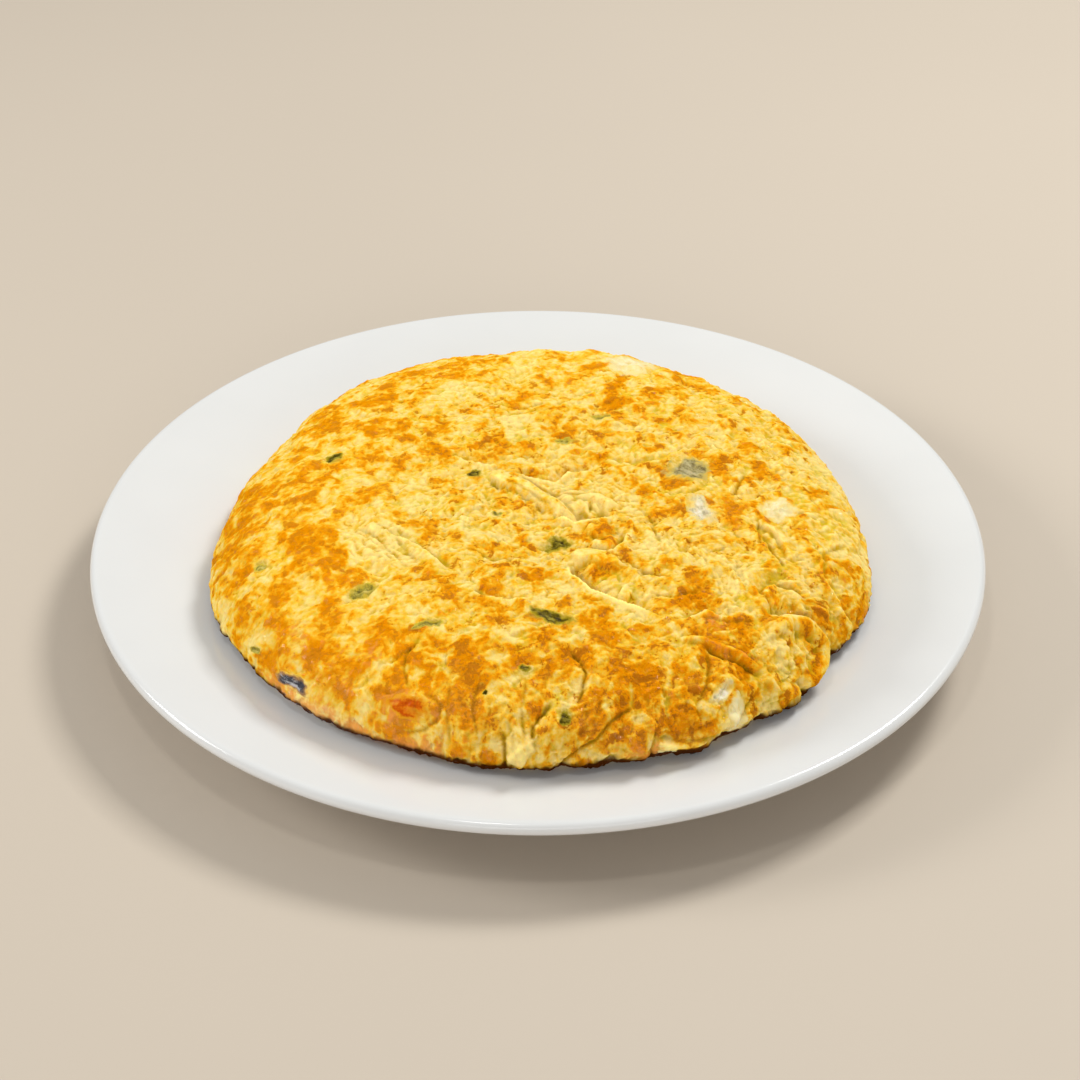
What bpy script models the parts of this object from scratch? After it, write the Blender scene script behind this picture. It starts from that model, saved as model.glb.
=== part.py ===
"""A Spanish omelette on its white dinner plate, for Blender 4.5.

Metres, +Z up. The origin is the centre of the plate's foot, on the surface that it stands on.
The viewer stands at -Y, so left is -X and the back is +Y.

The plate is a turned profile. The omelette is one solid that lies in the plate's well and
overhangs the rim at the front. Pieces of potato, leek, onion and pepper show in its skin,
each as a solid of its own in a pocket that is cut a little larger than the piece.
"""

import math

import bmesh
import bpy
import numpy as np
from mathutils import Matrix, Vector, noise

MM = 0.001

# Plate, from its axis outwards
PLATE_RADIUS = 135 * MM
LIP_HEIGHT = 23 * MM
LIP_THICKNESS = 4.2 * MM
RIM_INNER_RADIUS = 98 * MM
RIM_INNER_HEIGHT = 20.5 * MM
FLOOR_RADIUS = 80 * MM
FLOOR_HEIGHT = 9.5 * MM
FLOOR_THICKNESS = 4.5 * MM
FOOT_RADIUS = 82.5 * MM
FOOT_WIDTH = 4.5 * MM
PLATE_STEPS = 64

# Omelette: its outline in plan, then its section
OMELETTE_CENTRE = (0.9 * MM, -9.6 * MM)
OUTLINE_RADIUS = 97.5 * MM
TOP_HEIGHT = 48 * MM
SECTION_POWER = 5.0
WIDEST_ABOVE_EDGE = 5 * MM
UNDERCUT = 6 * MM
RINGS = 32
UNDERSIDE_BANDS = 3
SEAT_RADIUS = 76.5 * MM
CLEARANCE = 0.4 * MM

# Bulges and dents of the outline: direction and half width in degrees, height
OUTLINE_LOBES = (
    (-132, 26, 4.9 * MM),
    (-90, 26, 7.0 * MM),
    (-63, 10, 4.9 * MM),
    (-48, 10, 3.6 * MM),
    (-36.5, 3.5, -2.5 * MM),
    (-25, 9, 2.9 * MM),
    (-12, 6, 0.7 * MM),
    (12, 14, -1.2 * MM),
    (60, 22, 1.0 * MM),
    (85, 22, 3.1 * MM),
    (110, 22, 2.2 * MM),
    (135, 22, 2.2 * MM),
    (160, 22, -2.4 * MM),
    (-160, 18, 1.2 * MM),
)

# Lumps all over the skin: size, height and noise seed
LUMPS = (
    (30 * MM, 1.1 * MM, 3),
    (14 * MM, 0.9 * MM, 11),
    (8 * MM, 0.6 * MM, 23),
)

# Folds in the skin, as paths in unrolled millimetres (distance along the skin from the top's
# centre, laid out flat). The hollow lies to the left of the path and the lip to its right.
# Then the hollow's depth and width, and the lip's height and width, all in millimetres.
FOLDS = (
    (((-8, 4), (-2, 2), (4, 2), (15, 7)), 2.8, 5.0, 0.6, 4.0),
    (((4, -18), (14, -17), (20, -16), (22, -12)), 3.4, 6.0, 0.9, 4.0),
    (((11, -32), (19, -33), (23, -26)), 2.0, 4.5, 0.8, 4.0),
    (((7, -40), (12, -49), (20, -54), (28, -58)), 3.4, 6.0, 1.0, 4.0),
    (((-42, -25), (-34, -32), (-24, -42)), 1.4, 4.5, 0.6, 4.0),
    (((12, -80), (10, -90), (7, -100)), 1.6, 4.0, 0.8, 4.0),
    (((31, -90), (19, -95), (11, -105)), 1.8, 4.5, 0.8, 4.0),
    (((57, -76), (51, -74), (42, -69.5)), 1.4, 4.0, 1.6, 3.5),
    (((61, -57), (70, -56), (80, -57.5), (90, -62)), 2.8, 5.0, 1.4, 4.0),
    (((69, -36), (66, -26), (62, -20)), 1.8, 4.0, 0.6, 4.0),
    (((33, -104), (38, -98), (47, -96)), 1.2, 4.0, 0.8, 4.0),
)

# Broad hollows and swellings: place in unrolled millimetres, radius and height in millimetres
MOUNDS = (
    ((10, -4), 22, -2.4),
    ((22, -52), 18, -1.2),
    ((76, -66), 13, 2.2),
    ((76, -67), 6, -1.8),
    ((100, -28), 12, 1.6),
    ((50, -82), 8, 1.2),
    ((-36, -99), 9, -1.0),
    ((-33, -90), 6, 0.9),
    ((-20, -60), 20, 1.0),
    ((45, -40), 16, 1.0),
    ((5, -96), 5.5, 1.3),
    ((20, -86), 9, 1.3),
    ((27, -99), 6.5, 1.8),
    ((45, -101), 7, 1.2),
    ((71, -82), 6, 1.4),
)

# Pieces in the skin: name, place in unrolled millimetres, length, width, turn in degrees,
# and the material's name
PIECES = (
    ("potato_back", (28, 69), 16, 18, -10, "potato"),
    ("potato_right", (69, -12), 13, 10, 35, "potato"),
    ("potato_front_right", (52.5, -88.5), 12, 8, -60, "potato"),
    ("onion_right", (45.5, -16), 17, 8, -78, "onion"),
    ("leek_right", (44, 6), 16, 13, -35, "pale_leek"),
    ("leek_centre", (4, -30), 10, 7, 20, "dark_leek"),
    ("leek_front", (2.5, -62.5), 13, 5, -25, "dark_leek"),
    ("leek_front_left", (-47.5, -49.5), 9, 5.5, 25, "pale_leek"),
    ("onion_skin_left", (-68.5, -75.5), 15, 5.5, -38, "skin"),
    ("pepper_front_left", (-34, -89.5), 14, 8, -12, "pepper"),
)
PIECE_THICKNESS = 4.2 * MM
PIECE_PROUD = 0.9 * MM
POCKET_GAP = 0.3 * MM

# Base colour and roughness of each material
MATERIALS = {
    "porcelain": ((0.85, 0.85, 0.82), 0.12),
    "egg": ((0.84, 0.42, 0.06), 0.45),
    "potato": ((0.90, 0.75, 0.36), 0.40),
    "onion": ((0.72, 0.68, 0.50), 0.25),
    "pale_leek": ((0.50, 0.42, 0.14), 0.40),
    "dark_leek": ((0.14, 0.16, 0.03), 0.40),
    "skin": ((0.20, 0.22, 0.26), 0.25),
    "pepper": ((0.62, 0.14, 0.02), 0.35),
}


def clear_scene():
    for thing in list(bpy.data.objects):
        bpy.data.objects.remove(thing, do_unlink=True)


def new_collection(name):
    collection = bpy.data.collections.new(name)
    bpy.context.scene.collection.children.link(collection)
    return collection


def make_material(name):
    colour, roughness = MATERIALS[name]
    material = bpy.data.materials.new(name)
    material.use_nodes = True
    shader = material.node_tree.nodes["Principled BSDF"]
    shader.inputs["Base Color"].default_value = (*colour, 1.0)
    shader.inputs["Roughness"].default_value = roughness
    shader.inputs["Metallic"].default_value = 0.0
    material.diffuse_color = (*colour, 1.0)
    return material


def add_object(name, mesh, collection, material=None):
    thing = bpy.data.objects.new(name, mesh)
    collection.objects.link(thing)
    if material is not None:
        mesh.materials.append(material)
    return thing


def ease(share):
    """0 below 0, 1 above 1, and a smooth S between them."""
    share = np.clip(share, 0.0, 1.0)
    return share * share * (3.0 - 2.0 * share)


def plate_top(radius):
    """Height of the plate's upper face at a distance from the plate's axis."""
    wall = ease((radius - FLOOR_RADIUS) / (RIM_INNER_RADIUS - FLOOR_RADIUS))
    lip_radius = PLATE_RADIUS - LIP_THICKNESS / 2
    rim = np.clip((radius - RIM_INNER_RADIUS) / (lip_radius - RIM_INNER_RADIUS), 0.0, 1.0)
    height = FLOOR_HEIGHT + (RIM_INNER_HEIGHT - FLOOR_HEIGHT) * wall
    return height + (LIP_HEIGHT - RIM_INNER_HEIGHT) * rim


def plate_profile():
    """Radius and height of the plate's section, from the axis over the lip and back below."""
    points = [(0.0, FLOOR_HEIGHT)]
    for share in np.linspace(0.0, 1.0, 7):
        radius = FLOOR_RADIUS + share * (RIM_INNER_RADIUS - FLOOR_RADIUS)
        points.append((radius, float(plate_top(radius))))

    lip_radius = LIP_THICKNESS / 2
    lip_centre = PLATE_RADIUS - lip_radius
    for angle in np.linspace(math.pi / 2, -math.pi / 2, 7):
        points.append((lip_centre + lip_radius * math.cos(angle),
                       LIP_HEIGHT - lip_radius + lip_radius * math.sin(angle)))

    recess_height = FLOOR_HEIGHT - FLOOR_THICKNESS
    foot_inner = FOOT_RADIUS - FOOT_WIDTH
    points.append((RIM_INNER_RADIUS + 1 * MM, RIM_INNER_HEIGHT - LIP_THICKNESS))
    points.append((RIM_INNER_RADIUS - 5 * MM, RIM_INNER_HEIGHT - 2 * LIP_THICKNESS))
    points.append((FOOT_RADIUS + 1 * MM, recess_height - 1 * MM))
    points.append((FOOT_RADIUS, 0.0))
    points.append((foot_inner, 0.0))
    points.append((foot_inner - 1.5 * MM, recess_height))
    points.append((0.0, recess_height))
    return points


def build_plate(collection):
    """The plate: its section turned about the axis."""
    mesh = bpy.data.meshes.new("plate")
    shape = bmesh.new()
    corners = [shape.verts.new((radius, 0.0, height)) for radius, height in plate_profile()]
    for first, second in zip(corners, corners[1:]):
        shape.edges.new((first, second))
    shape.to_mesh(mesh)
    shape.free()

    plate = add_object("plate", mesh, collection, make_material("porcelain"))
    turn = plate.modifiers.new("turn", "SCREW")
    turn.angle = 2 * math.pi
    turn.steps = PLATE_STEPS
    turn.render_steps = PLATE_STEPS
    turn.use_merge_vertices = True
    turn.merge_threshold = 0.00001
    turn.use_smooth_shade = True
    return plate


def outline_radius(angle):
    """Distance from the omelette's centre to its widest edge, in one direction."""
    radius = OUTLINE_RADIUS
    for direction, half_width, height in OUTLINE_LOBES:
        apart = (angle - math.radians(direction) + math.pi) % (2 * math.pi) - math.pi
        radius += height * math.exp(-(apart / math.radians(half_width)) ** 2)
    return radius


def section_table():
    """The mean section at even steps, from the top's centre to the lower edge.

    Gives three arrays: the length along the skin, the radius as a share of the outline's,
    and the level, which is 1 at the top, 0 at the widest place and -1 at the lower edge.
    """
    turns = np.linspace(0.0, math.pi / 2, 240)
    reach = np.sin(turns)
    level = np.sqrt(1.0 - reach ** SECTION_POWER)
    under_turns = np.linspace(0.0, math.pi / 2, 24)[1:]
    under_share = UNDERCUT / OUTLINE_RADIUS
    reach = np.append(reach, 1.0 - under_share * (1.0 - np.cos(under_turns)))
    level = np.append(level, -np.sin(under_turns))

    widest = RIM_INNER_HEIGHT + WIDEST_ABOVE_EDGE
    drop = np.where(level > 0.0, TOP_HEIGHT - widest, WIDEST_ABOVE_EDGE)
    steps = np.hypot(np.diff(reach * OUTLINE_RADIUS), np.diff(level * drop))
    return np.append(0.0, np.cumsum(steps)), reach, level


SKIN_LENGTH, SKIN_REACH, SKIN_LEVEL = section_table()


def skin_point(length, angle):
    """A point of the smooth skin, at a length along the section in one direction."""
    reach = float(np.interp(length, SKIN_LENGTH, SKIN_REACH))
    level = float(np.interp(length, SKIN_LENGTH, SKIN_LEVEL))
    radius = outline_radius(angle)
    across, along = math.cos(angle), math.sin(angle)
    edge = radius - UNDERCUT
    edge_height = CLEARANCE + float(plate_top(math.hypot(
        OMELETTE_CENTRE[0] + edge * across, OMELETTE_CENTRE[1] + edge * along)))
    widest = edge_height + WIDEST_ABOVE_EDGE
    drop = TOP_HEIGHT - widest if level > 0.0 else WIDEST_ABOVE_EDGE
    return Vector((OMELETTE_CENTRE[0] + reach * radius * across,
                   OMELETTE_CENTRE[1] + reach * radius * along,
                   widest + level * drop))


def path_distance(place, path):
    """Signed distance from a flat place to a path, positive on its left, and the share of
    the path's length at the nearest point."""
    lengths = [(Vector(end) - Vector(start)).length for start, end in zip(path, path[1:])]
    best = (1e9, 1.0, 0.0)
    walked = 0.0
    for start, end, length in zip(path, path[1:], lengths):
        along = (Vector(end) - Vector(start)) / length
        offset = place - Vector(start)
        travel = min(max(offset.dot(along), 0.0), length)
        distance = (offset - along * travel).length
        if distance < best[0]:
            side = 1.0 if along.cross(offset) > 0.0 else -1.0
            best = (distance, side, walked + travel)
        walked += length
    return best[0] * best[1], best[2] / walked


def fold_height(place, fold):
    """Height of one fold, in millimetres: a lip on its right and a hollow on its left."""
    path, depth, hollow_width, lip, lip_width = fold
    distance, share = path_distance(place, path)
    if abs(distance) > 3.0 * max(hollow_width, lip_width):
        return 0.0
    ends = float(ease(4.0 * share + 0.3) * ease(4.0 * (1.0 - share) + 0.3))
    blend = float(ease((distance + 1.5) / 3.0))
    hollow = -depth * math.exp(-(distance / hollow_width) ** 2)
    crest = lip * math.exp(-(distance / lip_width) ** 2)
    return ends * (blend * hollow + (1.0 - blend) * crest)


def relief(point, place):
    """Height of the skin's relief over the smooth skin, in metres.

    point is in space, for the lumps. place is flat, in unrolled millimetres.
    """
    height = 0.0
    for size, amount, seed in LUMPS:
        height += amount * noise.noise(point / size + Vector((seed, 2.7 * seed, -1.3 * seed)))
    for centre, radius, amount in MOUNDS:
        apart = (place - Vector(centre)).length / radius
        height += amount * MM * math.exp(-apart * apart)
    for fold in FOLDS:
        height += fold_height(place, fold) * MM
    return height


def lattice_place(corner, rings):
    """Ring and angle of a corner of the triangular lattice inside a hexagon of radius 1,
    which has its first corner on +X."""
    angle = math.atan2(corner.y, corner.x) % (2 * math.pi)
    sextant = int(angle // (math.pi / 3)) % 6
    start = Vector((math.cos(sextant * math.pi / 3), math.sin(sextant * math.pi / 3)))
    end = Vector((math.cos((sextant + 1) * math.pi / 3), math.sin((sextant + 1) * math.pi / 3)))
    first = corner.xy.cross(end) / start.cross(end)
    second = start.cross(corner.xy) / start.cross(end)
    whole = first + second
    if whole < 0.5 / rings:
        return 0, 0.0
    return round(whole * rings), (sextant + second / whole) * math.pi / 3


def unrolled(length, angle):
    return Vector((math.cos(angle), math.sin(angle))) * (length / MM)


def keep_clear_of_plate(corner):
    """Lifts a corner that comes nearer to the plate than the clearance."""
    lowest = float(plate_top(math.hypot(corner.co.x, corner.co.y))) + CLEARANCE
    corner.co.z = max(corner.co.z, lowest)


def build_omelette(collection):
    """The omelette: a triangular lattice laid over the dome and its lower edge, raised by the
    relief, then closed below by bands that follow the plate's well down to a flat seat."""
    shape = bmesh.new()
    bmesh.ops.create_circle(shape, cap_ends=True, cap_tris=True, segments=6, radius=1.0,
                            matrix=Matrix.Rotation(math.pi / 6, 4, "Z"))
    bmesh.ops.subdivide_edges(shape, edges=shape.edges[:], cuts=RINGS - 1, use_grid_fill=True)

    full_length = SKIN_LENGTH[-1]
    angle_of = shape.verts.layers.float.new("angle")
    places = {}
    for corner in shape.verts:
        ring, angle = lattice_place(corner.co, RINGS)
        length = full_length * ring / RINGS
        places[corner] = (ring, length, angle)
        corner[angle_of] = angle
        corner.co = skin_point(length, angle)
    bmesh.ops.recalc_face_normals(shape, faces=shape.faces[:])
    if sum(face.normal.z for face in shape.faces) < 0.0:
        bmesh.ops.reverse_faces(shape, faces=shape.faces[:])
    shape.normal_update()

    raised = {}
    for corner, (ring, length, angle) in places.items():
        fade = float(ease((RINGS - ring) / 3.0))
        height = relief(corner.co, unrolled(length, angle)) * fade
        raised[corner] = corner.co + corner.normal * height
    for corner, position in raised.items():
        corner.co = position
        keep_clear_of_plate(corner)

    close_underside(shape, angle_of)
    mesh = bpy.data.meshes.new("omelette")
    shape.to_mesh(mesh)
    shape.free()
    mesh.shade_smooth()
    return add_object("omelette", mesh, collection, make_material("egg"))


def close_underside(shape, angle_of):
    """Closes the skin below: bands from its lower edge to a flat seat on the plate's floor."""
    start_of = shape.verts.layers.float_vector.new("start")
    loop = [edge for edge in shape.edges if edge.is_boundary]
    for corner in {corner for edge in loop for corner in edge.verts}:
        corner[start_of] = corner.co
    for band in range(1, UNDERSIDE_BANDS + 1):
        made = bmesh.ops.extrude_edge_only(shape, edges=loop)["geom"]
        loop = [part for part in made if isinstance(part, bmesh.types.BMEdge) and part.is_boundary]
        for corner in (part for part in made if isinstance(part, bmesh.types.BMVert)):
            angle = corner[angle_of]
            start = Vector(corner[start_of][:2])
            seat = Vector((math.cos(angle), math.sin(angle))) * SEAT_RADIUS
            flat = start.lerp(seat, band / UNDERSIDE_BANDS)
            half_band = (start - seat).length / UNDERSIDE_BANDS / 2
            height = float(plate_top(flat.length + half_band))
            if band == UNDERSIDE_BANDS:
                height = FLOOR_HEIGHT
            corner.co = (flat.x, flat.y, height + CLEARANCE)
    bmesh.ops.contextual_create(shape, geom=loop)
    bmesh.ops.recalc_face_normals(shape, faces=shape.faces[:])


def skin_frame(centre):
    """The raised skin's place, its outward direction and its two directions along the skin,
    at a place in unrolled millimetres."""
    length = math.hypot(*centre) * MM
    angle = math.atan2(centre[1], centre[0])
    here = skin_point(length, angle)
    outward = skin_point(length + 1 * MM, angle) - skin_point(length - 1 * MM, angle)
    around = skin_point(length, angle + 0.02) - skin_point(length, angle - 0.02)
    outward.normalize()
    normal = outward.cross(around).normalized()
    # the directions that run right and back where the skin is flat
    right = outward * math.cos(angle) - around.normalized() * math.sin(angle)
    right = (right - normal * right.dot(normal)).normalized()
    back = normal.cross(right)
    return here + normal * relief(here, Vector(centre)), normal, right, back


def piece_mesh(name, length, width, grow, seed):
    """A flat rounded piece with an uneven outline, grown all round by a margin."""
    mesh = bpy.data.meshes.new(name)
    shape = bmesh.new()
    bmesh.ops.create_uvsphere(shape, u_segments=12, v_segments=6, radius=1.0)
    for corner in shape.verts:
        angle = math.atan2(corner.co.y, corner.co.x)
        uneven = 1.0 + 0.10 * math.sin(2 * angle + seed) + 0.07 * math.sin(3 * angle + 2 * seed)
        squared = Vector([math.copysign(abs(value) ** 0.8, value) for value in corner.co])
        corner.co = (squared.x * (length / 2 * uneven + grow),
                     squared.y * (width / 2 * uneven + grow),
                     squared.z * (PIECE_THICKNESS / 2 + grow))
    shape.to_mesh(mesh)
    shape.free()
    mesh.shade_smooth()
    return mesh


def build_pieces(omelette, collection, cutters):
    """The pieces in the skin, and a pocket in the omelette for each of them."""
    for number, (name, centre, length, width, turn, material) in enumerate(PIECES):
        here, normal, right, back = skin_frame(centre)
        here -= normal * (PIECE_THICKNESS / 2 - PIECE_PROUD)
        frame = Matrix((right, back, normal)).transposed().to_4x4()
        frame = Matrix.Translation(here) @ frame @ Matrix.Rotation(math.radians(turn), 4, "Z")

        mesh = piece_mesh(name, length * MM, width * MM, 0.0, number)
        piece = add_object(name, mesh, collection, make_material(material))
        piece.matrix_world = frame

        pocket_mesh = piece_mesh(name + "_pocket", length * MM, width * MM, POCKET_GAP, number)
        pocket = add_object(name + "_pocket", pocket_mesh, cutters)
        pocket.matrix_world = frame
        pocket.hide_render = True
        pocket.display_type = "WIRE"

    cut = omelette.modifiers.new("pockets", "BOOLEAN")
    cut.operation = "DIFFERENCE"
    cut.operand_type = "COLLECTION"
    cut.collection = cutters
    cut.solver = "EXACT"


def main():
    clear_scene()
    parts = new_collection("spanish_omelette")
    cutters = new_collection("cutters")
    build_plate(parts)
    omelette = build_omelette(parts)
    build_pieces(omelette, parts, cutters)


main()
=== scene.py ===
"""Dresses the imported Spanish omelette: its browned skin, the pieces that show in it and its plate.

Metres, +Z up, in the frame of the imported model. The viewer stands at -Y, so left is -X.
A place on the skin is given flat, in unrolled millimetres: the distance along the skin from the
top's centre, laid out in its direction, with x to the right and y to the back.
"""

import math

import bmesh
import bpy
import numpy as np
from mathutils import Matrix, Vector, noise


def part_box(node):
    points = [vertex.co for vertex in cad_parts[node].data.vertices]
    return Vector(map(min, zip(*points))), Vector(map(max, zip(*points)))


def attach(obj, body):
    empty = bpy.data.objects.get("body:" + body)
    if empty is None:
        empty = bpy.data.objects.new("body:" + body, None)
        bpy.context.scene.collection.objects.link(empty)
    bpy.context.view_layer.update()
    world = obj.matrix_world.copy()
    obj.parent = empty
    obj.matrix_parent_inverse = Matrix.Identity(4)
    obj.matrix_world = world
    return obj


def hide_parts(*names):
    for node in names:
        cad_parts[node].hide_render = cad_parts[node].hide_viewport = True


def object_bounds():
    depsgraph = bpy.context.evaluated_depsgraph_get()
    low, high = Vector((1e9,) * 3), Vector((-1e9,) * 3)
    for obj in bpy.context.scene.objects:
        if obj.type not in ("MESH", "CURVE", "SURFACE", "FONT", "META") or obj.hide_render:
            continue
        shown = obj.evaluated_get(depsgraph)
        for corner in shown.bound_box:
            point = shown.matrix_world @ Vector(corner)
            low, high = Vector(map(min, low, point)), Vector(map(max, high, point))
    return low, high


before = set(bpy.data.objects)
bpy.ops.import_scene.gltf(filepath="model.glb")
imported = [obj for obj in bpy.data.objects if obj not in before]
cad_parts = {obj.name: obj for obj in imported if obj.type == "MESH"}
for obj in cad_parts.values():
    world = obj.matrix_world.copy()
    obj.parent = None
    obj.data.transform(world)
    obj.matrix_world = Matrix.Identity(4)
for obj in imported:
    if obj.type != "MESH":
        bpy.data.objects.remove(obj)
cad_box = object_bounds()

MM = 0.001

# Plate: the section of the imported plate, turned in finer steps
PLATE_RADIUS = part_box("plate")[1].x
LIP_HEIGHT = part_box("plate")[1].z
LIP_THICKNESS = 4.2 * MM
RIM_INNER_RADIUS = 98 * MM
RIM_INNER_HEIGHT = 20.5 * MM
FLOOR_RADIUS = 80 * MM
FLOOR_HEIGHT = 9.5 * MM
FLOOR_THICKNESS = 4.5 * MM
FOOT_RADIUS = 82.5 * MM
FOOT_WIDTH = 4.5 * MM
FOOT_ROUNDING = 1.2 * MM
PLATE_STEPS = 288

# Omelette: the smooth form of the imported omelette. Its outline swells or shrinks in lobes:
# direction and half width in degrees, and height
OMELETTE_CENTRE = (0.9 * MM, -9.6 * MM)
OUTLINE_RADIUS = 97.5 * MM
TOP_HEIGHT = 48 * MM
SECTION_POWER = 5.0
WIDEST_ABOVE_EDGE = 5 * MM
UNDERCUT = 6 * MM
SEAT_RADIUS = 76.5 * MM
CLEARANCE = 0.4 * MM
OUTLINE_LOBES = (
    (-132, 26, 4.9 * MM),
    (-90, 26, 7.0 * MM),
    (-63, 10, 4.9 * MM),
    (-48, 10, 3.6 * MM),
    (-36.5, 3.5, -2.5 * MM),
    (-25, 9, 2.9 * MM),
    (-12, 6, 0.7 * MM),
    (12, 14, -1.2 * MM),
    (60, 22, 1.0 * MM),
    (85, 22, 3.1 * MM),
    (110, 22, 2.2 * MM),
    (135, 22, 2.2 * MM),
    (160, 22, -2.4 * MM),
    (-160, 18, 1.2 * MM),
)

# Lumps all over: size, height in millimetres and seed. Then single mounds and dents: place,
# radius and height in millimetres
LUMPS = (
    (30 * MM, 1.1, 3),
    (14 * MM, 0.9, 11),
    (8 * MM, 0.6, 23),
)
MOUNDS = (
    ((10, -4), 22, -2.4),
    ((22, -52), 18, -1.2),
    ((76, -66), 13, 2.2),
    ((72, -67), 6, -1.8),
    ((100, -28), 12, 1.6),
    ((50, -82), 8, 1.2),
    ((-36, -99), 9, -1.0),
    ((-33, -90), 6, 0.9),
    ((-20, -60), 20, 1.0),
    ((45, -40), 16, 1.0),
    ((5, -96), 5.5, 1.3),
    ((20, -86), 9, 1.3),
    ((-6, -101), 4.5, 1.1),
    ((27, -99), 6.5, 1.8),
    ((-1, -92), 4, -0.7),
    ((45, -101), 7, 1.2),
    ((60, -84), 5, -0.7),
    ((71, -82), 6, 1.4),
)

# Fineness of the skin: steps of its section, rings of the lattice and bands below
SECTION_STEPS = 240
UNDERCUT_STEPS = 24
RINGS = 240
UNDERSIDE_BANDS = 6

# The length in millimetres over which the relief fades towards the lower edge, and how far the
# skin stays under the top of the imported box
FADE_LENGTH = 3.5
TOP_MARGIN = 0.05 * MM

# How often the relief is levelled to find its cavities and crevices, and how much each time
CAVITY_STEPS = 24
CREVICE_STEPS = 4
LEVELLING = 0.6

# What every point of the skin knows for its colour
SKIN_FIELDS = ("browning", "pale_and_edge_highlight", "shade_in_creases", "wet", "level", "stain", "rosy", "edge_browning_and_shade",
               "crisp", "cavity", "crevice")

# Noise in the skin: the size of its bumps or flakes in millimetres, then its seed. Then how wide
# a flake's rim is, in sizes, and how far apart the seeds lie
WANDER_NOISES = ((7.0, 31), (7.0, 32))
CURL_NOISES = ((2.6, 33), (2.6, 34))
BROAD_NOISE = (12.0, 41)
MIDDLE_NOISE = (5.5, 42)
FINE_NOISE = (2.0, 43)
GRAIN_NOISE = (1.3, 44)
CURD_NOISE = (5.0, 45)
SMALL_CURD_NOISE = (2.5, 46)
CRUMPLE_NOISE = (7.0, 48)
SMALL_CRUMPLE_NOISE = (3.4, 49)
FINE_CRUMPLE_NOISE = (1.9, 50)
TEAR_NOISE = (7.5, 51)
SMALL_TEAR_NOISE = (2.8, 52)
WRINKLE_NOISE = (3.2, 53)
GROOVE_NOISE = (7.0, 54)
SMALL_GROOVE_NOISE = (3.6, 55)
RIB_NOISE = (1.3, 51)
SMALL_FLAKES = (3.4, 2)
BROAD_FLAKES = (7.5, 5)
FLAKE_RIM = 0.2
SEED_STEP = 9.7

# How far the wandering and curling noises shift a pattern, in millimetres
WANDER_REACH = 2.6
CURL_REACH = 0.9

# The dark lower edge, a browned underside with painted contact shade, by its distance along
# the skin in unrolled millimetres, and how much lighter the underside is
UNDER_START = 106.4
UNDER_END = 112.0
UNDER_BLEND = 2.2
UNDER_FADE = 0.85

# Widths of a fold's wall and of the painted shade along a crease, the depths at which a fold
# and a crease show in full, all in millimetres, and what is left of them at the ends of their
# paths
FOLD_WALL = 1.2
CREASE_LINE = 0.5
DEEP_FOLD = 3.0
DEEP_CREASE = 1.5
END_SHARE = 0.2

# Folds: path (hollow on its left, lip on its right), then the hollow's depth and width, and
# the lip's height and width. All in millimetres
FOLDS = (
    (((-8, 4), (-2, 2), (4, 2), (7, 5), (10, 8)), 3.0, 3.6, 0.6, 2.0),
    (((6, 6), (10, 6), (15, 7)), 1.9, 4.0, 0.6, 2.2),
    (((4, -18), (9, -19), (14, -18), (20, -17)), 3.4, 4.6, 1.0, 2.2),
    (((11, -32), (15, -33), (19, -33), (22, -30), (23, -25)), 2.4, 3.2, 1.0, 2.2),
    (((7, -40), (8, -44), (12, -49), (16, -53), (22, -55), (28, -58)), 3.8, 5.0, 1.3, 2.2),
    (((-42, -25), (-34, -32), (-24, -42)), 1.4, 4.0, 0.6, 3.0),
    (((61, -58), (68, -57), (76, -57.5), (83, -60), (90, -63)), 2.8, 2.6, 0.8, 2.2),
    (((69, -36), (66, -26), (62, -20)), 1.2, 2.4, 0.5, 3.0),
    (((-18, -52), (-14, -54.5), (-9, -56), (-3, -55)), 1.6, 2.6, 0.7, 2.0),
    (((2, -9), (9, -8), (15, -11)), 0.8, 2.4, 0.5, 2.0),
    (((60, -52), (66, -47), (74, -50)), 1.4, 3.0, 0.7, 2.5),
    (((36, -62), (43, -58), (52, -60)), 1.3, 3.0, 0.7, 2.4),
    (((80, -40), (86, -47), (94, -50)), 1.6, 3.2, 0.8, 2.6),
    (((31, -99), (38, -98), (47, -96)), 1.2, 2.5, 0.8, 2.2),
    (((-28, 12), (-20, 9), (-14, 8)), 1.0, 3.0, 0.5, 2.4),
    (((20, 14), (28, 10), (36, 12)), 1.0, 3.0, 0.5, 2.4),
    (((70, -75), (76, -79), (80, -84)), 1.8, 3.0, 0.9, 2.4),
)

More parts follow.
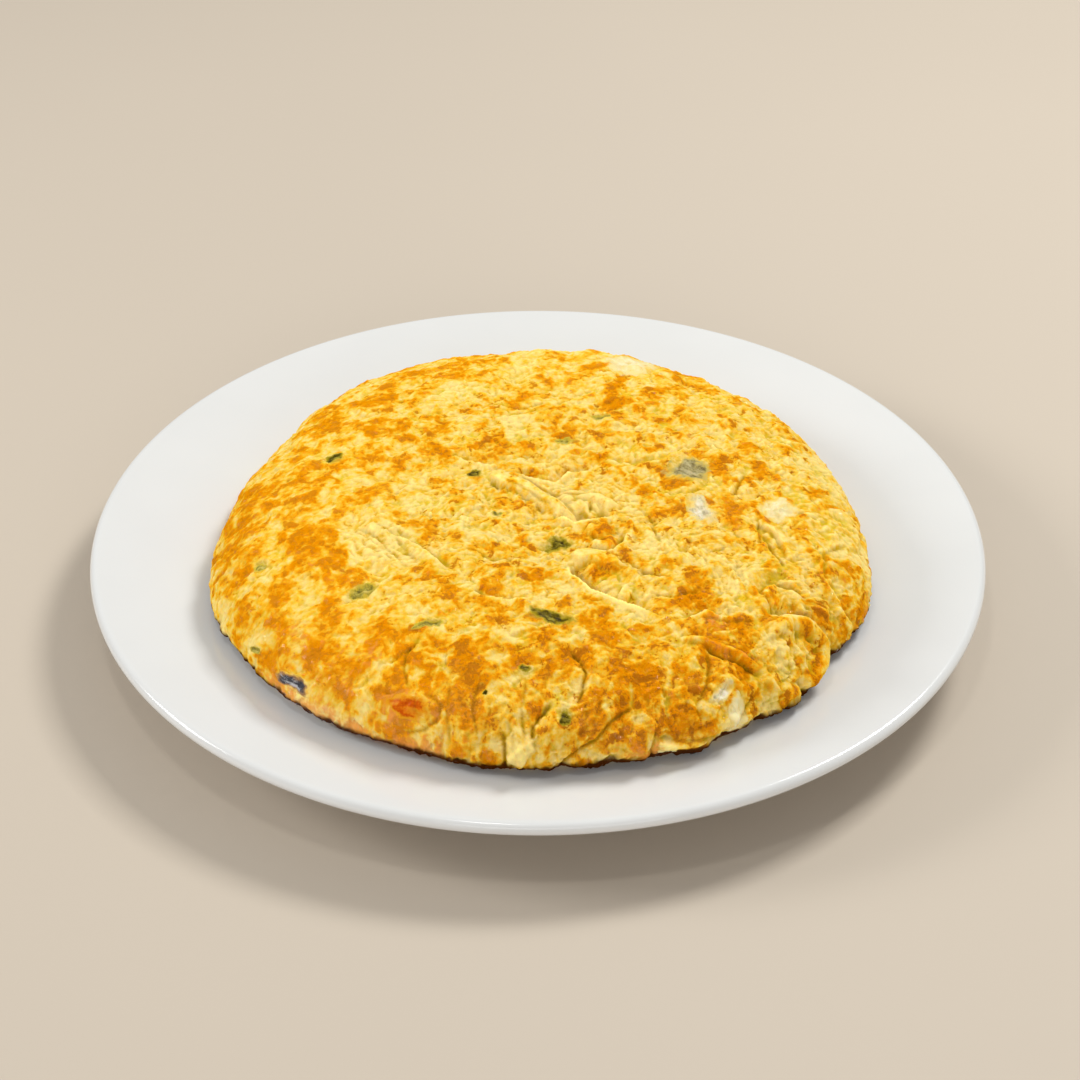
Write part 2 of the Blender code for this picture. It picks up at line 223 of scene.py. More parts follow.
# Creases: path, depth and half width in millimetres
CREASES = (
    (((-31, -69), (-34, -73), (-35, -78), (-34, -85)), 1.1, 0.7),
    (((-30, -86), (-27, -87.5), (-25, -90), (-27, -94), (-31, -96), (-37, -96.5)), 0.9, 0.8),
    (((-39, -77), (-36, -73.5), (-33, -72)), 0.9, 0.7),
    (((7, -74), (10, -78), (11, -82), (10, -87), (9, -91)), 1.7, 0.7),
    (((24, -90), (20, -94), (17, -96), (14, -100), (10, -103), (5, -109)), 2.1, 0.9),
    (((2, -90), (0, -93), (-2, -96), (-2, -100)), 2.3, 0.8),
    (((-10, -97), (-10, -102), (-10, -105), (-10, -109)), 2.0, 0.8),
    (((30, -96), (30, -101), (31, -106)), 1.7, 0.9),
    (((42, -71), (43, -76), (42, -81), (40, -87)), 1.4, 0.9),
    (((42, -70.5), (47, -73), (52, -75), (57, -76.5)), 1.5, 0.6),
    (((60, -49), (62, -54), (65, -59)), 1.0, 0.8),
    (((56, -7), (59, -1), (62, 5)), 1.5, 0.7),
    (((62, -25), (64, -31), (67, -39)), 1.6, 0.8),
    (((62, -18), (61.5, -24), (61, -30)), 1.0, 0.6),
    (((38.5, 11), (40, 5), (42, 1)), 0.9, 0.9),
    (((96, -55), (100, -47), (103, -39)), 1.6, 1.4),
    (((-52, -22), (-44, -29), (-37, -37)), 0.6, 0.8),
    (((-47, -20), (-40, -27), (-33, -39)), 0.6, 0.7),
    (((28, -12), (32, -20), (33, -30)), 1.0, 0.9),
    (((42, -60), (50, -62), (57, -61)), 0.9, 0.8),
    (((88, -22), (80, -30), (79, -40)), 1.0, 1.0),
    (((-3, -83), (-5, -92), (-4, -100)), 0.8, 0.8),
    (((-23, -85), (-24, -93), (-24, -101)), 0.7, 0.8),
    (((-16, -84), (-17, -92), (-16, -100)), 0.7, 0.8),
    (((52, -97), (54, -92), (57, -82)), 1.3, 1.0),
    (((60, -98), (63, -91), (64, -86)), 1.4, 1.0),
    (((75, -92), (72, -86), (70, -82)), 1.6, 1.2),
    (((-17, 41), (-8, 38), (2, 40)), 0.7, 0.8),
    (((-6, 3), (0, -3), (8, -6), (16, -5)), 1.2, 0.9),
    (((-11, -1), (-3, -7), (3, -13)), 0.9, 0.9),
    (((22, -37), (27, -42), (33, -44)), 1.1, 0.8),
    (((28, -50), (35, -52), (42, -50)), 1.0, 0.8),
    (((-20, -33), (-13, -37), (-6, -38)), 0.8, 0.8),
)

# Rolls: path, height and half width in millimetres
ROLLS = (
    (((-16, 4), (-10, -1), (-5, -4), (0, -8), (4, -12), (7, -16), (5, -21)), 2.8, 2.0),
    (((5, -9), (9, -6), (14, -7), (18, -11), (21, -15)), 2.8, 2.1),
    (((8, -13), (11, -11), (14, -12)), 1.8, 1.7),
    (((13, -15), (17, -13)), 1.1, 1.6),
    (((12, -22), (16, -24), (18, -21)), 1.8, 1.7),
    (((13, -29), (18, -30), (19, -26)), 1.7, 1.6),
    (((8, -38), (12, -36), (16, -37), (20, -41)), 2.6, 2.0),
    (((11, -42), (14, -43)), 0.7, 2.6),
    (((16, -45), (18, -48)), 0.9, 2.6),
    (((20, -50), (23, -51)), 1.5, 2.4),
    (((35, -68), (40, -68), (44, -69), (50, -72), (54, -74), (58, -75.5)), 1.7, 0.75),
    (((60, -64), (67, -60), (75, -60), (80, -62), (81, -66), (78, -72), (73, -75)), 2.2, 1.6),
    (((70, -48), (73, -52), (74, -56)), 1.2, 1.4),
    (((-8, -103), (-6, -105), (-4, -106)), 1.3, 2.2),
    (((31, -101), (36, -99), (41, -97), (45, -94), (50, -91), (55, -88)), 1.4, 1.6),
    (((46, -79), (52, -81), (58, -80)), 1.0, 1.4),
    (((60, -76), (64, -79), (70, -78)), 1.1, 1.4),
    (((30, -40), (36, -37), (42, -38)), 0.9, 1.6),
    (((24, -20), (30, -24), (31, -30)), 0.9, 1.6),
)

# Pale smooth places: centre, half length, half width, turn in degrees, strength
PALE_PLACES = (
    (-45, -30, 11, 8, -35, 0.9),
    (51, -45, 9, 6, 0, 0.9),
    (12, -9, 14, 7, -20, 0.8),
    (30, -30, 8, 6, 0, 0.8),
    (62, -91, 13, 7, 35, 1.0),
    (97, -24, 12, 9, 0, 0.8),
    (-62, -86, 15, 6, -28, 1.0),
    (7, -86, 4, 7, 0, 0.7),
    (-8, -103, 8, 4, 0, 0.9),
    (-5, 28, 7, 6, 0, 0.6),
    (20, -53, 9, 5, -35, 0.8),
    (3, 88, 8, 12, 0, 0.8),
    (-30, 47, 8, 6, 0, 0.5),
    (-85, 35, 9, 20, 20, 0.5),
    (-98, -45, 9, 20, 15, 0.8),
    (-19, -26, 9, 5, 0, 0.6),
    (-2, -38, 9, 5, 0, 0.7),
    (-12, 2, 8, 5, 0, 0.6),
    (55, 35, 7, 6, 0, 0.4),
    (88, 20, 10, 18, 0, 0.6),
    (22, -105, 9, 4, 0, 0.6),
)

# Browned places, in the same form
BROWNED_PLACES = (
    (-67, 38, 9, 7, -30, 1.0),
    (-52, 30, 7, 5, 0, 0.8),
    (-72, 24, 7, 4, 0, 0.8),
    (-48, 45, 4, 4, 0, 0.7),
    (-46, 57, 4, 5, 0, 0.5),
    (-26, 69, 4, 6, 0, 0.8),
    (-16, 68, 2, 5, 0, 0.6),
    (-2, 38, 3, 2, 0, 0.6),
    (-18, 40, 3, 2, 0, 0.6),
    (-14, 16, 6, 4, 0, 0.8),
    (6, 24, 6, 5, 20, 0.8),
    (28, 48, 8, 8, 0, 1.0),
    (45, 42, 4, 5, 0, 0.7),
    (60, 53, 3, 5, 0, 0.8),
    (-74, -5, 9, 7, 0, 0.9),
    (-90, -10, 5, 11, 0, 0.9),
    (-69, -26, 9, 6, 0, 0.9),
    (-60, -36, 6, 4, 0, 0.9),
    (-93, -28, 5, 7, 0, 0.9),
    (-84, -36, 6, 3, 0, 0.9),
    (-77, -44, 5, 2.5, 15, 0.9),
    (-60, -43, 8, 3, 0, 0.9),
    (-81, -50, 9, 4.5, 0, 0.9),
    (-53, -57, 6, 3.5, -15, 1.0),
    (-40, -47, 2.5, 3, 0, 0.9),
    (-38, -58, 2.5, 3, 0, 0.8),
    (-24, -50, 2.2, 6, 10, 0.8),
    (-16, -46, 2, 7, 30, 0.9),
    (-14, -32, 6, 3, -15, 0.9),
    (-10, -8, 8, 5, -20, 0.9),
    (-22, -8, 3, 4, 0, 0.8),
    (-31, -11, 3, 2, 0, 0.8),
    (-38, -8, 3, 2, 0, 0.6),
    (-73, -66, 9, 6, -30, 0.9),
    (-61, -71, 6, 4, 0, 0.8),
    (-50, -75, 4, 3, 0, 0.8),
    (-40, -67, 4, 5, 0, 0.8),
    (-32, -75, 6, 4.5, 0, 0.9),
    (-16, -73, 3, 3, 0, 0.9),
    (-9, -60, 4, 3, 0, 0.8),
    (0, -49, 4, 5, 0, 0.9),
    (-1, -71, 5, 3, 0, 0.8),
    (-52, -82, 4, 2, 0, 0.9),
    (-18, -94, 4, 5, 0, 0.8),
    (6.5, -43, 2, 1.5, 0, 1.0),
    (11, -55, 2.4, 6, 25, 1.0),
    (18, -22, 3, 3, 0, 0.9),
    (25, 2, 6, 5, 0, 0.8),
    (35, 7, 5, 4, 0, 0.8),
    (36, -16, 6, 4, -20, 0.8),
    (45, -32, 4, 4, 0, 1.0),
    (62, -9, 3, 5, 0, 0.8),
    (55, -14, 3, 4, 0, 0.8),
    (75, -24, 7, 4, -25, 0.8),
    (82, -33, 8, 4, 0, 0.8),
    (91, -44, 10, 4, 10, 1.0),
    (61, -42, 3, 2, 0, 0.9),
    (67, -51, 8, 4.5, 10, 0.9),
    (43, -54, 7, 4, 0, 0.9),
    (50, -63, 8, 3, -5, 0.9),
    (81, -63, 7, 3, 10, 0.9),
    (30, -69, 3, 2, 0, 0.8),
    (24, -82, 11, 9, -20, 1.0),
    (34, -90, 5, 3, 0, 0.8),
    (28, -103, 5, 4, 0, 0.9),
    (52, -74, 9, 2, -25, 0.5),
    (82, 2, 6, 2, 10, 0.8),
    (60, 9, 3, 5, 0, 0.7),
    (-100, 30, 4, 8, 0, 0.8),
)

# Broad browning of whole regions: centre, half length, half width, turn, bias
REGIONS = (
    (-75, -10, 40, 60, 0, 0.03),
    (30, -88, 35, 20, 0, 0.30),
    (-40, -85, 45, 18, 0, 0.28),
    (66, -62, 26, 26, 0, 0.08),
    (5, 0, 30, 26, 0, -0.18),
    (85, -5, 25, 30, 0, -0.06),
    (-60, 85, 60, 25, 0, 0.05),
    (20, 65, 60, 30, 0, -0.08),
    (70, 20, 35, 40, 0, -0.08),
)

# Places tinted a reddish orange
ROSY_PLACES = (
    (-34, -89, 10, 5, -10, 0.55),
    (-72, -80, 12, 5, -48, 0.9),
    (-54, -95, 13, 5, -38, 0.9),
    (-36, -104, 13, 6, -15, 1.0),
    (-66, -62, 7, 5, -30, 0.4),
    (-50, -80, 4, 3, 0, 0.5),
    (-45, -73, 4, 4, 0, 0.4),
    (28, -103, 7, 5, 0, 0.8),
    (52, -73, 12, 2.0, -25, 0.3),
    (46, -62, 6, 3, 0, 0.4),
    (100, -38, 5, 6, 0, 0.4),
    (47, 24, 4, 6, 0, 0.3),
)

# Glossy, wet places
WET_PLACES = (
    (-62, -84, 20, 9, -28, 1.0),
    (-30, -95, 24, 8, 0, 0.7),
    (30, -98, 30, 9, 0, 0.5),
    (50, -15, 8, 10, 0, 0.6),
)

# Pieces in the skin: name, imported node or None, place, length, width, turn in degrees, height
# of the crown over the skin, in millimetres, and the finish
PIECES = (
    ("potato_back_piece", "potato_back", (28, 70), 17, 20, -10, 0.7, "potato"),
    ("potato_right_piece", "potato_right", (69, -12), 14, 11, 35, 0.35, "potato"),
    ("potato_front_right_piece", "potato_front_right", (52.5, -88.5), 13, 8, -60, 0.35, "potato"),
    ("onion_right_piece", "onion_right", (45.5, -16), 18, 8, -78, 0.5, "onion"),
    ("leek_right_piece", "leek_right", (44, 6), 17, 14, -35, 0.4, "grey_leek"),
    ("leek_centre_piece", "leek_centre", (4.5, -30), 9, 7, 20, 0.35, "dark_leek"),
    ("leek_front_piece", "leek_front", (2.5, -62.5), 14, 5, -25, 0.5, "dark_leek"),
    ("leek_front_left_piece", "leek_front_left", (-47.5, -49.5), 9, 5.5, 25, 0.3, "pale_leek"),
    ("skin_left_piece", "onion_skin_left", (-68.5, -75.5), 15, 5.5, -38, 0.5, "skin"),
    ("pepper_piece", "pepper_front_left", (-34, -89.5), 14, 7.5, -12, 0.4, "pepper"),
    ("herb_left", None, (-63, 13), 6.5, 4.5, 20, 0.35, "dark_leek"),
    ("herb_middle", None, (-20, 3), 4.4, 5.0, -20, 0.35, "dark_leek"),
    ("herb_back", None, (7, 21), 6.0, 3.6, 0, 0.3, "pale_leek"),
    ("herb_back_right", None, (18, 34), 6.0, 3.2, 10, 0.3, "pale_leek"),
    ("herb_far_left", None, (-79, -34), 4.0, 4.5, 35, 0.3, "pale_leek"),
    ("herb_far_front_left", None, (-80, -62), 5.0, 2.4, -30, 0.3, "pale_leek"),
    ("herb_front", None, (-4, -80), 4.4, 2.8, 10, 0.2, "dark_leek"),
    ("herb_front_low", None, (6, -94), 3.6, 5.0, 0, 0.15, "dark_leek"),
    ("herb_dot", None, (-14, -87), 1.5, 1.3, 0, 0.2, "dark_leek"),
    ("herb_small", None, (-12, -16), 3.0, 2.6, 0, 0.25, "pale_leek"),
    ("leek_streak", None, (-29, -65), 9.0, 2.6, 12, 0.3, "pale_leek"),
    ("potato_front", None, (35, -101.5), 6.0, 3.0, 10, 0.3, "potato"),
    ("onion_low", None, (46.5, -83), 8.5, 4.5, 62, 0.2, "onion"),
)

# Fineness of a piece, its depth in the skin, its outline, where 1 is an ellipse and less is
# squarer, how deep its top's border and its bottom lie under the skin, and the height of its
# ribs. In millimetres
PIECE_RINGS = 12
PIECE_SPOKES = 40
PIECE_DEPTH = 2.0
PIECE_SQUARENESS = 0.8
BORDER_SINK = 0.15
BOTTOM_SINK = 0.25
RIB_HEIGHT = 0.12

# The pocket under a piece: its depth in millimetres, and its half length and half width as a
# share of the piece's length and width. Then the same shares for the stain round a leaf
POCKET_DEPTH = 0.3
POCKET_SHARE = 0.46
STAIN_SHARES = (0.66, 0.7)

# Waves of a piece's border: how many, their height as a share, and their turn with the seed
BORDER_WAVES = ((2, 0.10, 1), (3, 0.07, 2), (7, 0.05, 3))

# Finishes that tint the egg round them
STAINING = ("pale_leek", "dark_leek", "grey_leek")

# The pale leaf that lies under the skin, in the same form as the pale places, then the turn of
# its veins, the distance between them and their height in millimetres
LEAF_PLACE = ((-43, -31, 13, 9, -38, 1.0),)
VEIN_TURN = math.radians(-43)
VEIN_SPACING = 2.4
VEIN_HEIGHT = 0.55

# Torn layers: how many lie over each other, the height of a torn edge in millimetres, the share
# of a layer that the edge takes, and the places that are torn
TEAR_LAYERS = 3.4
TEAR_HEIGHT = 1.5
TEAR_WIDTH = 0.22
TORN_PLACES = (
    (14, -22, 34, 40, 0, 0.3),
    (62, -60, 34, 30, -30, 0.25),
    (75, -5, 30, 40, 0, 0.2),
    (-30, -20, 30, 30, 0, 0.2),
    (0, 50, 60, 25, 0, 0.15),
)

# Fine slanting wrinkles: direction and height in millimetres. Then the depth of the grooves
# that run down the side, where the side starts, and where the grooves are deepest
SLANT = math.radians(28)
SLANT_HEIGHT = 0.42
GROOVE_DEPTH = 0.7
SIDE_START = 84.0
SIDE_BLEND = 12.0
GROOVED_PLACES = (
    (22, -98, 36, 22, 0, 1.0),
    (75, -70, 30, 30, 0, 0.6),
)

# How far the unbrowned skin lies under the flat browned skin, and how soft the step to it is
PIT_DEPTH = 1.3
PRESS_SOFTNESS = 0.07

# Height of the crumpled curds, and the places where they are higher or lower
CRUMPLE_HEIGHT = 0.62
CRUMPLED_PLACES = (
    (65, -65, 40, 28, -30, 0.1),
    (10, -90, 45, 22, 0, 0.1),
    (12, -20, 30, 36, 0, 0.1),
    (-75, 10, 35, 60, 0, -0.55),
    (-10, 80, 70, 30, 0, -0.5),
    (-65, -75, 45, 30, -35, -0.6),
)

# Camera, with its sensor in millimetres, floor and lights. Each light has its name, place,
# width, height, power in watts and colour
CAMERA_PLACE = (0.00063, -0.60848, 0.44642)
CAMERA_AIM = (0.00063, -0.00491, 0.02239)
FIELD_OF_VIEW = math.radians(25)
SENSOR = 36
FLOOR_SIZE = 6.0
FLOOR_COLOUR = (0.60, 0.52, 0.43)
WORLD_COLOUR = (0.99, 0.98, 0.94)
WORLD_STRENGTH = 0.37
LIGHTS = (
    ("window", (0.62, 0.50, 1.05), 0.35, 0.35, 10.4, (1.0, 1.0, 0.97)),
    ("left", (-1.30, 0.05, 0.75), 0.5, 0.5, 9.0, (1.0, 1.0, 0.98)),
    ("front", (0.1, -1.40, 0.45), 1.3, 0.6, 5.8, (1.0, 1.0, 1.0)),
    ("top", (-0.15, -0.35, 1.2), 0.12, 0.12, 1.3, (1.0, 1.0, 0.98)),
)


def ease(share):
    """0 below 0, 1 above 1, and a smooth S between them."""
    share = np.clip(share, 0.0, 1.0)
    return share * share * (3.0 - 2.0 * share)


def flat_length(places):
    """Distance of each place from the origin, seen from above."""
    return np.hypot(places[:, 0], places[:, 1])


def turned(places, turn):
    """Flat places turned about the origin by an angle in degrees."""
    across, along = math.cos(math.radians(turn)), math.sin(math.radians(turn))
    return np.stack((places[:, 0] * across - places[:, 1] * along,
                     places[:, 1] * across + places[:, 0] * along), axis=1)


def tapered(share, steepness):
    """1 along a path and less at its ends, for shares of the way from 0 to 1."""
    return ease(steepness * share + END_SHARE) * ease(steepness * (1.0 - share) + END_SHARE)


def plate_top(radius):
    """Height of the plate's upper face at a distance from the plate's axis."""
    wall = ease((radius - FLOOR_RADIUS) / (RIM_INNER_RADIUS - FLOOR_RADIUS))
    lip_radius = PLATE_RADIUS - LIP_THICKNESS / 2
    rim = np.clip((radius - RIM_INNER_RADIUS) / (lip_radius - RIM_INNER_RADIUS), 0.0, 1.0)
    height = FLOOR_HEIGHT + (RIM_INNER_HEIGHT - FLOOR_HEIGHT) * wall
    return height + (LIP_HEIGHT - RIM_INNER_HEIGHT) * rim


def outline_radius(angles):
    """Distance from the omelette's centre to its widest edge, in each direction."""
    radius = np.full_like(angles, OUTLINE_RADIUS)
    for direction, half_width, height in OUTLINE_LOBES:
        apart = (angles - math.radians(direction) + math.pi) % (2 * math.pi) - math.pi
        radius += height * np.exp(-(apart / math.radians(half_width)) ** 2)
    return radius


def section_table():
    """The mean section: length along the skin, radius as a share of the outline's, and level,
    which is 1 at the top, 0 at the widest place and -1 at the lower edge."""
    turns = np.linspace(0.0, math.pi / 2, SECTION_STEPS)
    reach = np.sin(turns)
    level = np.sqrt(1.0 - reach ** SECTION_POWER)
    under_turns = np.linspace(0.0, math.pi / 2, UNDERCUT_STEPS)[1:]
    reach = np.append(reach, 1.0 - UNDERCUT / OUTLINE_RADIUS * (1.0 - np.cos(under_turns)))
    level = np.append(level, -np.sin(under_turns))
    widest = RIM_INNER_HEIGHT + WIDEST_ABOVE_EDGE
    drop = np.where(level > 0.0, TOP_HEIGHT - widest, WIDEST_ABOVE_EDGE)
    steps = np.hypot(np.diff(reach * OUTLINE_RADIUS), np.diff(level * drop))
    return np.append(0.0, np.cumsum(steps)), reach, level


SKIN_LENGTH, SKIN_REACH, SKIN_LEVEL = section_table()
FULL_LENGTH = SKIN_LENGTH[-1] / MM


def smooth_skin(places):
    """Points in space of the smooth skin at flat places."""
    length = flat_length(places) * MM
    angle = np.arctan2(places[:, 1], places[:, 0])
    reach = np.interp(length, SKIN_LENGTH, SKIN_REACH)
    level = np.interp(length, SKIN_LENGTH, SKIN_LEVEL)
    radius = outline_radius(angle)
    edge = radius - UNDERCUT
    edge_height = CLEARANCE + plate_top(np.hypot(OMELETTE_CENTRE[0] + edge * np.cos(angle),
                                                 OMELETTE_CENTRE[1] + edge * np.sin(angle)))
    widest = edge_height + WIDEST_ABOVE_EDGE
    drop = np.where(level > 0.0, TOP_HEIGHT - widest, WIDEST_ABOVE_EDGE)
    return np.stack((OMELETTE_CENTRE[0] + reach * radius * np.cos(angle),
                     OMELETTE_CENTRE[1] + reach * radius * np.sin(angle),
                     widest + level * drop), axis=1)


def skin_normals(places, step=0.5):
    """Outward directions of the smooth skin at flat places."""
    right = smooth_skin(places + (step, 0.0)) - smooth_skin(places - (step, 0.0))
    back = smooth_skin(places + (0.0, step)) - smooth_skin(places - (0.0, step))
    normals = np.cross(right, back)
    return normals / np.linalg.norm(normals, axis=1, keepdims=True)


def ripple(places, size, seed):
    """Smooth noise from about -1 to 1 over flat places, with bumps of one size."""
    level = SEED_STEP * seed
    return np.array([noise.noise((x / size, y / size, level)) for x, y in places.tolist()])


def lump_height(points):
    """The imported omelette's own lumps, in millimetres."""
    height = np.zeros(len(points))
    for size, amount, seed in LUMPS:
        shift = Vector((seed, 2.7 * seed, -1.3 * seed))
        height += amount * np.array([noise.noise(Vector(point) / size + shift)
                                     for point in points.tolist()])
    return height


def scatter(cells, seed):
    """Three numbers from 0 to 1 for each cell of a grid, mixed from its place."""
    base = cells[:, 0] * 12.9898 + cells[:, 1] * 78.233 + seed * 37.719
    return [np.mod(np.sin(base * factor) * 43758.5453, 1.0) for factor in (1.0, 1.31, 1.73)]


def flakes(places, size, seed):
    """Splits the skin into flakes: a level from -1 to 1 of the flake that each place lies in,
    and how deep inside its flake the place is."""
    scaled = places / size
    cells = np.floor(scaled)
    nearest = np.full(len(places), math.inf)
    second = np.full(len(places), math.inf)
    level = np.zeros(len(places))
    for column in (-1, 0, 1):
        for row in (-1, 0, 1):
            corner = cells + (column, row)
            across, along, own = scatter(corner, seed)
            apart = corner + np.stack((across, along), axis=1) - scaled
            distance = flat_length(apart)
            closer = distance < nearest
            second = np.where(closer, nearest, np.minimum(second, distance))
            level = np.where(closer, 2.0 * own - 1.0, level)
            nearest = np.minimum(nearest, distance)
    return level, second - nearest


def path_distance(places, path):
    """Signed distance from each place to a path, positive on its left, and the share of the
    path's length at the nearest point."""
    path = np.array(path, float)
    best = np.full(len(places), math.inf)
    side = np.ones(len(places))
    reached = np.zeros(len(places))
    walked = 0.0
    for start, end in zip(path, path[1:]):
        length = math.dist(start, end)
        along = (end - start) / length
        offset = places - start
        travel = np.clip(offset @ along, 0.0, length)
        gap = offset - travel[:, None] * along
        distance = flat_length(gap)
        nearer = distance < best
        left = along[0] * offset[:, 1] - along[1] * offset[:, 0] > 0.0
        best = np.where(nearer, distance, best)
        side = np.where(nearer, np.where(left, 1.0, -1.0), side)
        reached = np.where(nearer, walked + travel, reached)
        walked += length
    return best * side, reached / walked


def fold_relief(places, wander):
    """The folds: four arrays, the height in millimetres, and how much each place lies in a
    hollow, on a lip and on the wall between them. The colour pales the lip as painted highlight
    and darkens the wall as painted shade."""
    height = np.zeros(len(places))
    hollow = np.zeros(len(places))
    lips = np.zeros(len(places))
    wall = np.zeros(len(places))
    for path, depth, hollow_width, lip, lip_width in FOLDS:
        distance, share = path_distance(places, path)
        distance = distance + wander
        ends = tapered(share, 5.0)
        blend = ease((distance + 0.5) / FOLD_WALL)
        trough = np.exp(-(distance / hollow_width) ** 2)
        crest = np.exp(-(distance / lip_width) ** 2)
        height += ends * ((1.0 - blend) * lip * crest - blend * depth * trough)
        strength = ends * min(depth / DEEP_FOLD, 1.0)
        hollow = np.maximum(hollow, strength * blend * trough)
        lips = np.maximum(lips, strength * (1.0 - blend) * crest)
        wall = np.maximum(wall, strength * np.exp(-((distance - 0.5) / 0.8) ** 2))
    return height, hollow, lips, wall


def crease_relief(places, wander):
    """The creases: their heights in millimetres, and how near each place is to one, which sets
    the painted shade along them.
    """
    height = np.zeros(len(places))
    shade_in_creases = np.zeros(len(places))
    for path, depth, half_width in CREASES:
        distance, share = path_distance(places, path)
        distance = np.abs(distance + 0.5 * wander)
        ends = tapered(share, 6.0)
        height -= ends * depth * np.exp(-distance / (0.8 * half_width))
        strength = ends * min(depth / DEEP_CREASE, 1.0)
        shade_in_creases = np.maximum(shade_in_creases, strength * np.exp(-(distance / CREASE_LINE) ** 2))
    return height, shade_in_creases


def roll_relief(places, wander):
    """Heights of the rolls, in millimetres: rounded above, with a crease along each foot."""
    height = np.zeros(len(places))
    for path, crest, half_width in ROLLS:
        distance, share = path_distance(places, path)
        distance = (distance + 0.5 * wander) / half_width
        ends = tapered(share, 5.0)
        height += ends * crest * np.clip(1.0 - (distance / 1.5) ** 2, 0.0, 1.0)
    return height


def patches(places, table, sharpness=3.0):
    """Sum of soft ellipses: centre, half length, half width, turn in degrees and strength."""
    total = np.zeros(len(places))
    for x, y, half_length, half_width, turn, strength in table:
        apart = flat_length(turned(places - (x, y), -turn) / (half_length, half_width))
        total += strength * np.exp(-apart ** sharpness)
    return total


def torn_relief(places, folded):
    """Torn layers that overlap like shingles: their height, and how near each place is to the
    torn edge of the upper layer and to its foot. The colour paints highlight on the edge and
    shade at the foot."""
    layers = TEAR_LAYERS * (ripple(folded, *TEAR_NOISE) + 0.16 * ripple(folded, *SMALL_TEAR_NOISE))
    part = layers - np.floor(layers)
    torn = np.clip(patches(places, TORN_PLACES, 2.0), 0.0, 1.3)
    steps = ease((part - 1.0 + TEAR_WIDTH) / TEAR_WIDTH) - part
    edge = np.exp(-part / 0.10)
    foot = np.exp(-np.abs(part - 1.0 + TEAR_WIDTH) / 0.06)
    return TEAR_HEIGHT * torn * (steps + 0.25 * edge), torn * edge, torn * foot


def wrinkle_relief(places, curl):
    """Fine wrinkles: short slanting ones all over, and grooves that run down the side. In
    millimetres."""
    along = places @ (math.cos(SLANT), math.sin(SLANT))
    across = places @ (-math.sin(SLANT), math.cos(SLANT))
    slanting = np.stack((0.35 * along, across), axis=1) + 0.8 * curl
    creased = 1.0 - np.abs(ripple(slanting, *WRINKLE_NOISE)) / 0.16
    wrinkles = SLANT_HEIGHT * np.clip(creased, 0.0, 1.0)

    length = flat_length(places)
    around = np.arctan2(places[:, 1], places[:, 0]) * OUTLINE_RADIUS / MM
    down = np.stack((around, 0.3 * length), axis=1) + 1.1 * curl
    grooves = np.exp(-np.abs(ripple(down, *GROOVE_NOISE)) / 0.10)
    grooves += 0.6 * np.exp(-np.abs(ripple(down, *SMALL_GROOVE_NOISE)) / 0.12)
    deepest = np.clip(patches(places, GROOVED_PLACES, 2.0), 0.0, 1.0)
    side = ease((length - SIDE_START) / SIDE_BLEND) * (0.35 + deepest)
    return wrinkles - GROOVE_DEPTH * side * grooves


def pocket_relief(places):
    """How much each place lies under one of the pieces, from 0 to 1."""
    covered = np.zeros(len(places))
    for name, node, centre, length, width, turn, crown, finish in PIECES:
        table = ((*centre, POCKET_SHARE * length, POCKET_SHARE * width, turn, 1.0),)
        covered = np.maximum(covered, patches(places, table, 6.0))
    return covered


def mound_relief(places):
    """Heights of the mounds and dents, in millimetres."""
    height = np.zeros(len(places))
    for centre, radius, amount in MOUNDS:
        apart = flat_length(places - centre) / radius
        height += amount * np.exp(-apart ** 2)
    return height


def flake_level(warped):
    """How high the flake at each place is, and how deep inside a small flake the place is."""
    small_level, small_inside = flakes(warped, *SMALL_FLAKES)
    broad_level, broad_inside = flakes(warped, *BROAD_FLAKES)
    level = (0.6 * small_level * ease(small_inside / FLAKE_RIM)
             + 0.7 * broad_level * ease(broad_inside / FLAKE_RIM))
    return level, small_inside


def leaf_relief(warped):
    """How much of the pale leaf lies under each place, and its veins."""
    leaf = patches(warped, LEAF_PLACE, 4.0)
    across = warped @ (-math.sin(VEIN_TURN), math.cos(VEIN_TURN))
    return leaf, leaf * np.abs(np.sin(math.pi / VEIN_SPACING * across))


def crumple_relief(places, warped, curl):
    """Crumpled curds in three sizes, about 0."""
    return (2.0 * np.abs(ripple(warped, *CRUMPLE_NOISE))
            + 1.1 * np.abs(ripple(warped, *SMALL_CRUMPLE_NOISE))
            + 0.6 * np.abs(ripple(places + 0.8 * curl, *FINE_CRUMPLE_NOISE)) - 0.9)


def under_field(places, wander):
    """How dark the lower edge is at each place, from 0 to 1: a browned underside with
    painted contact shade.
    """
    length = flat_length(places)
    start = ease((length + 0.6 * wander - UNDER_START) / UNDER_BLEND)
    return start * (1.0 - UNDER_FADE * ease((length - UNDER_END) / UNDER_BLEND))


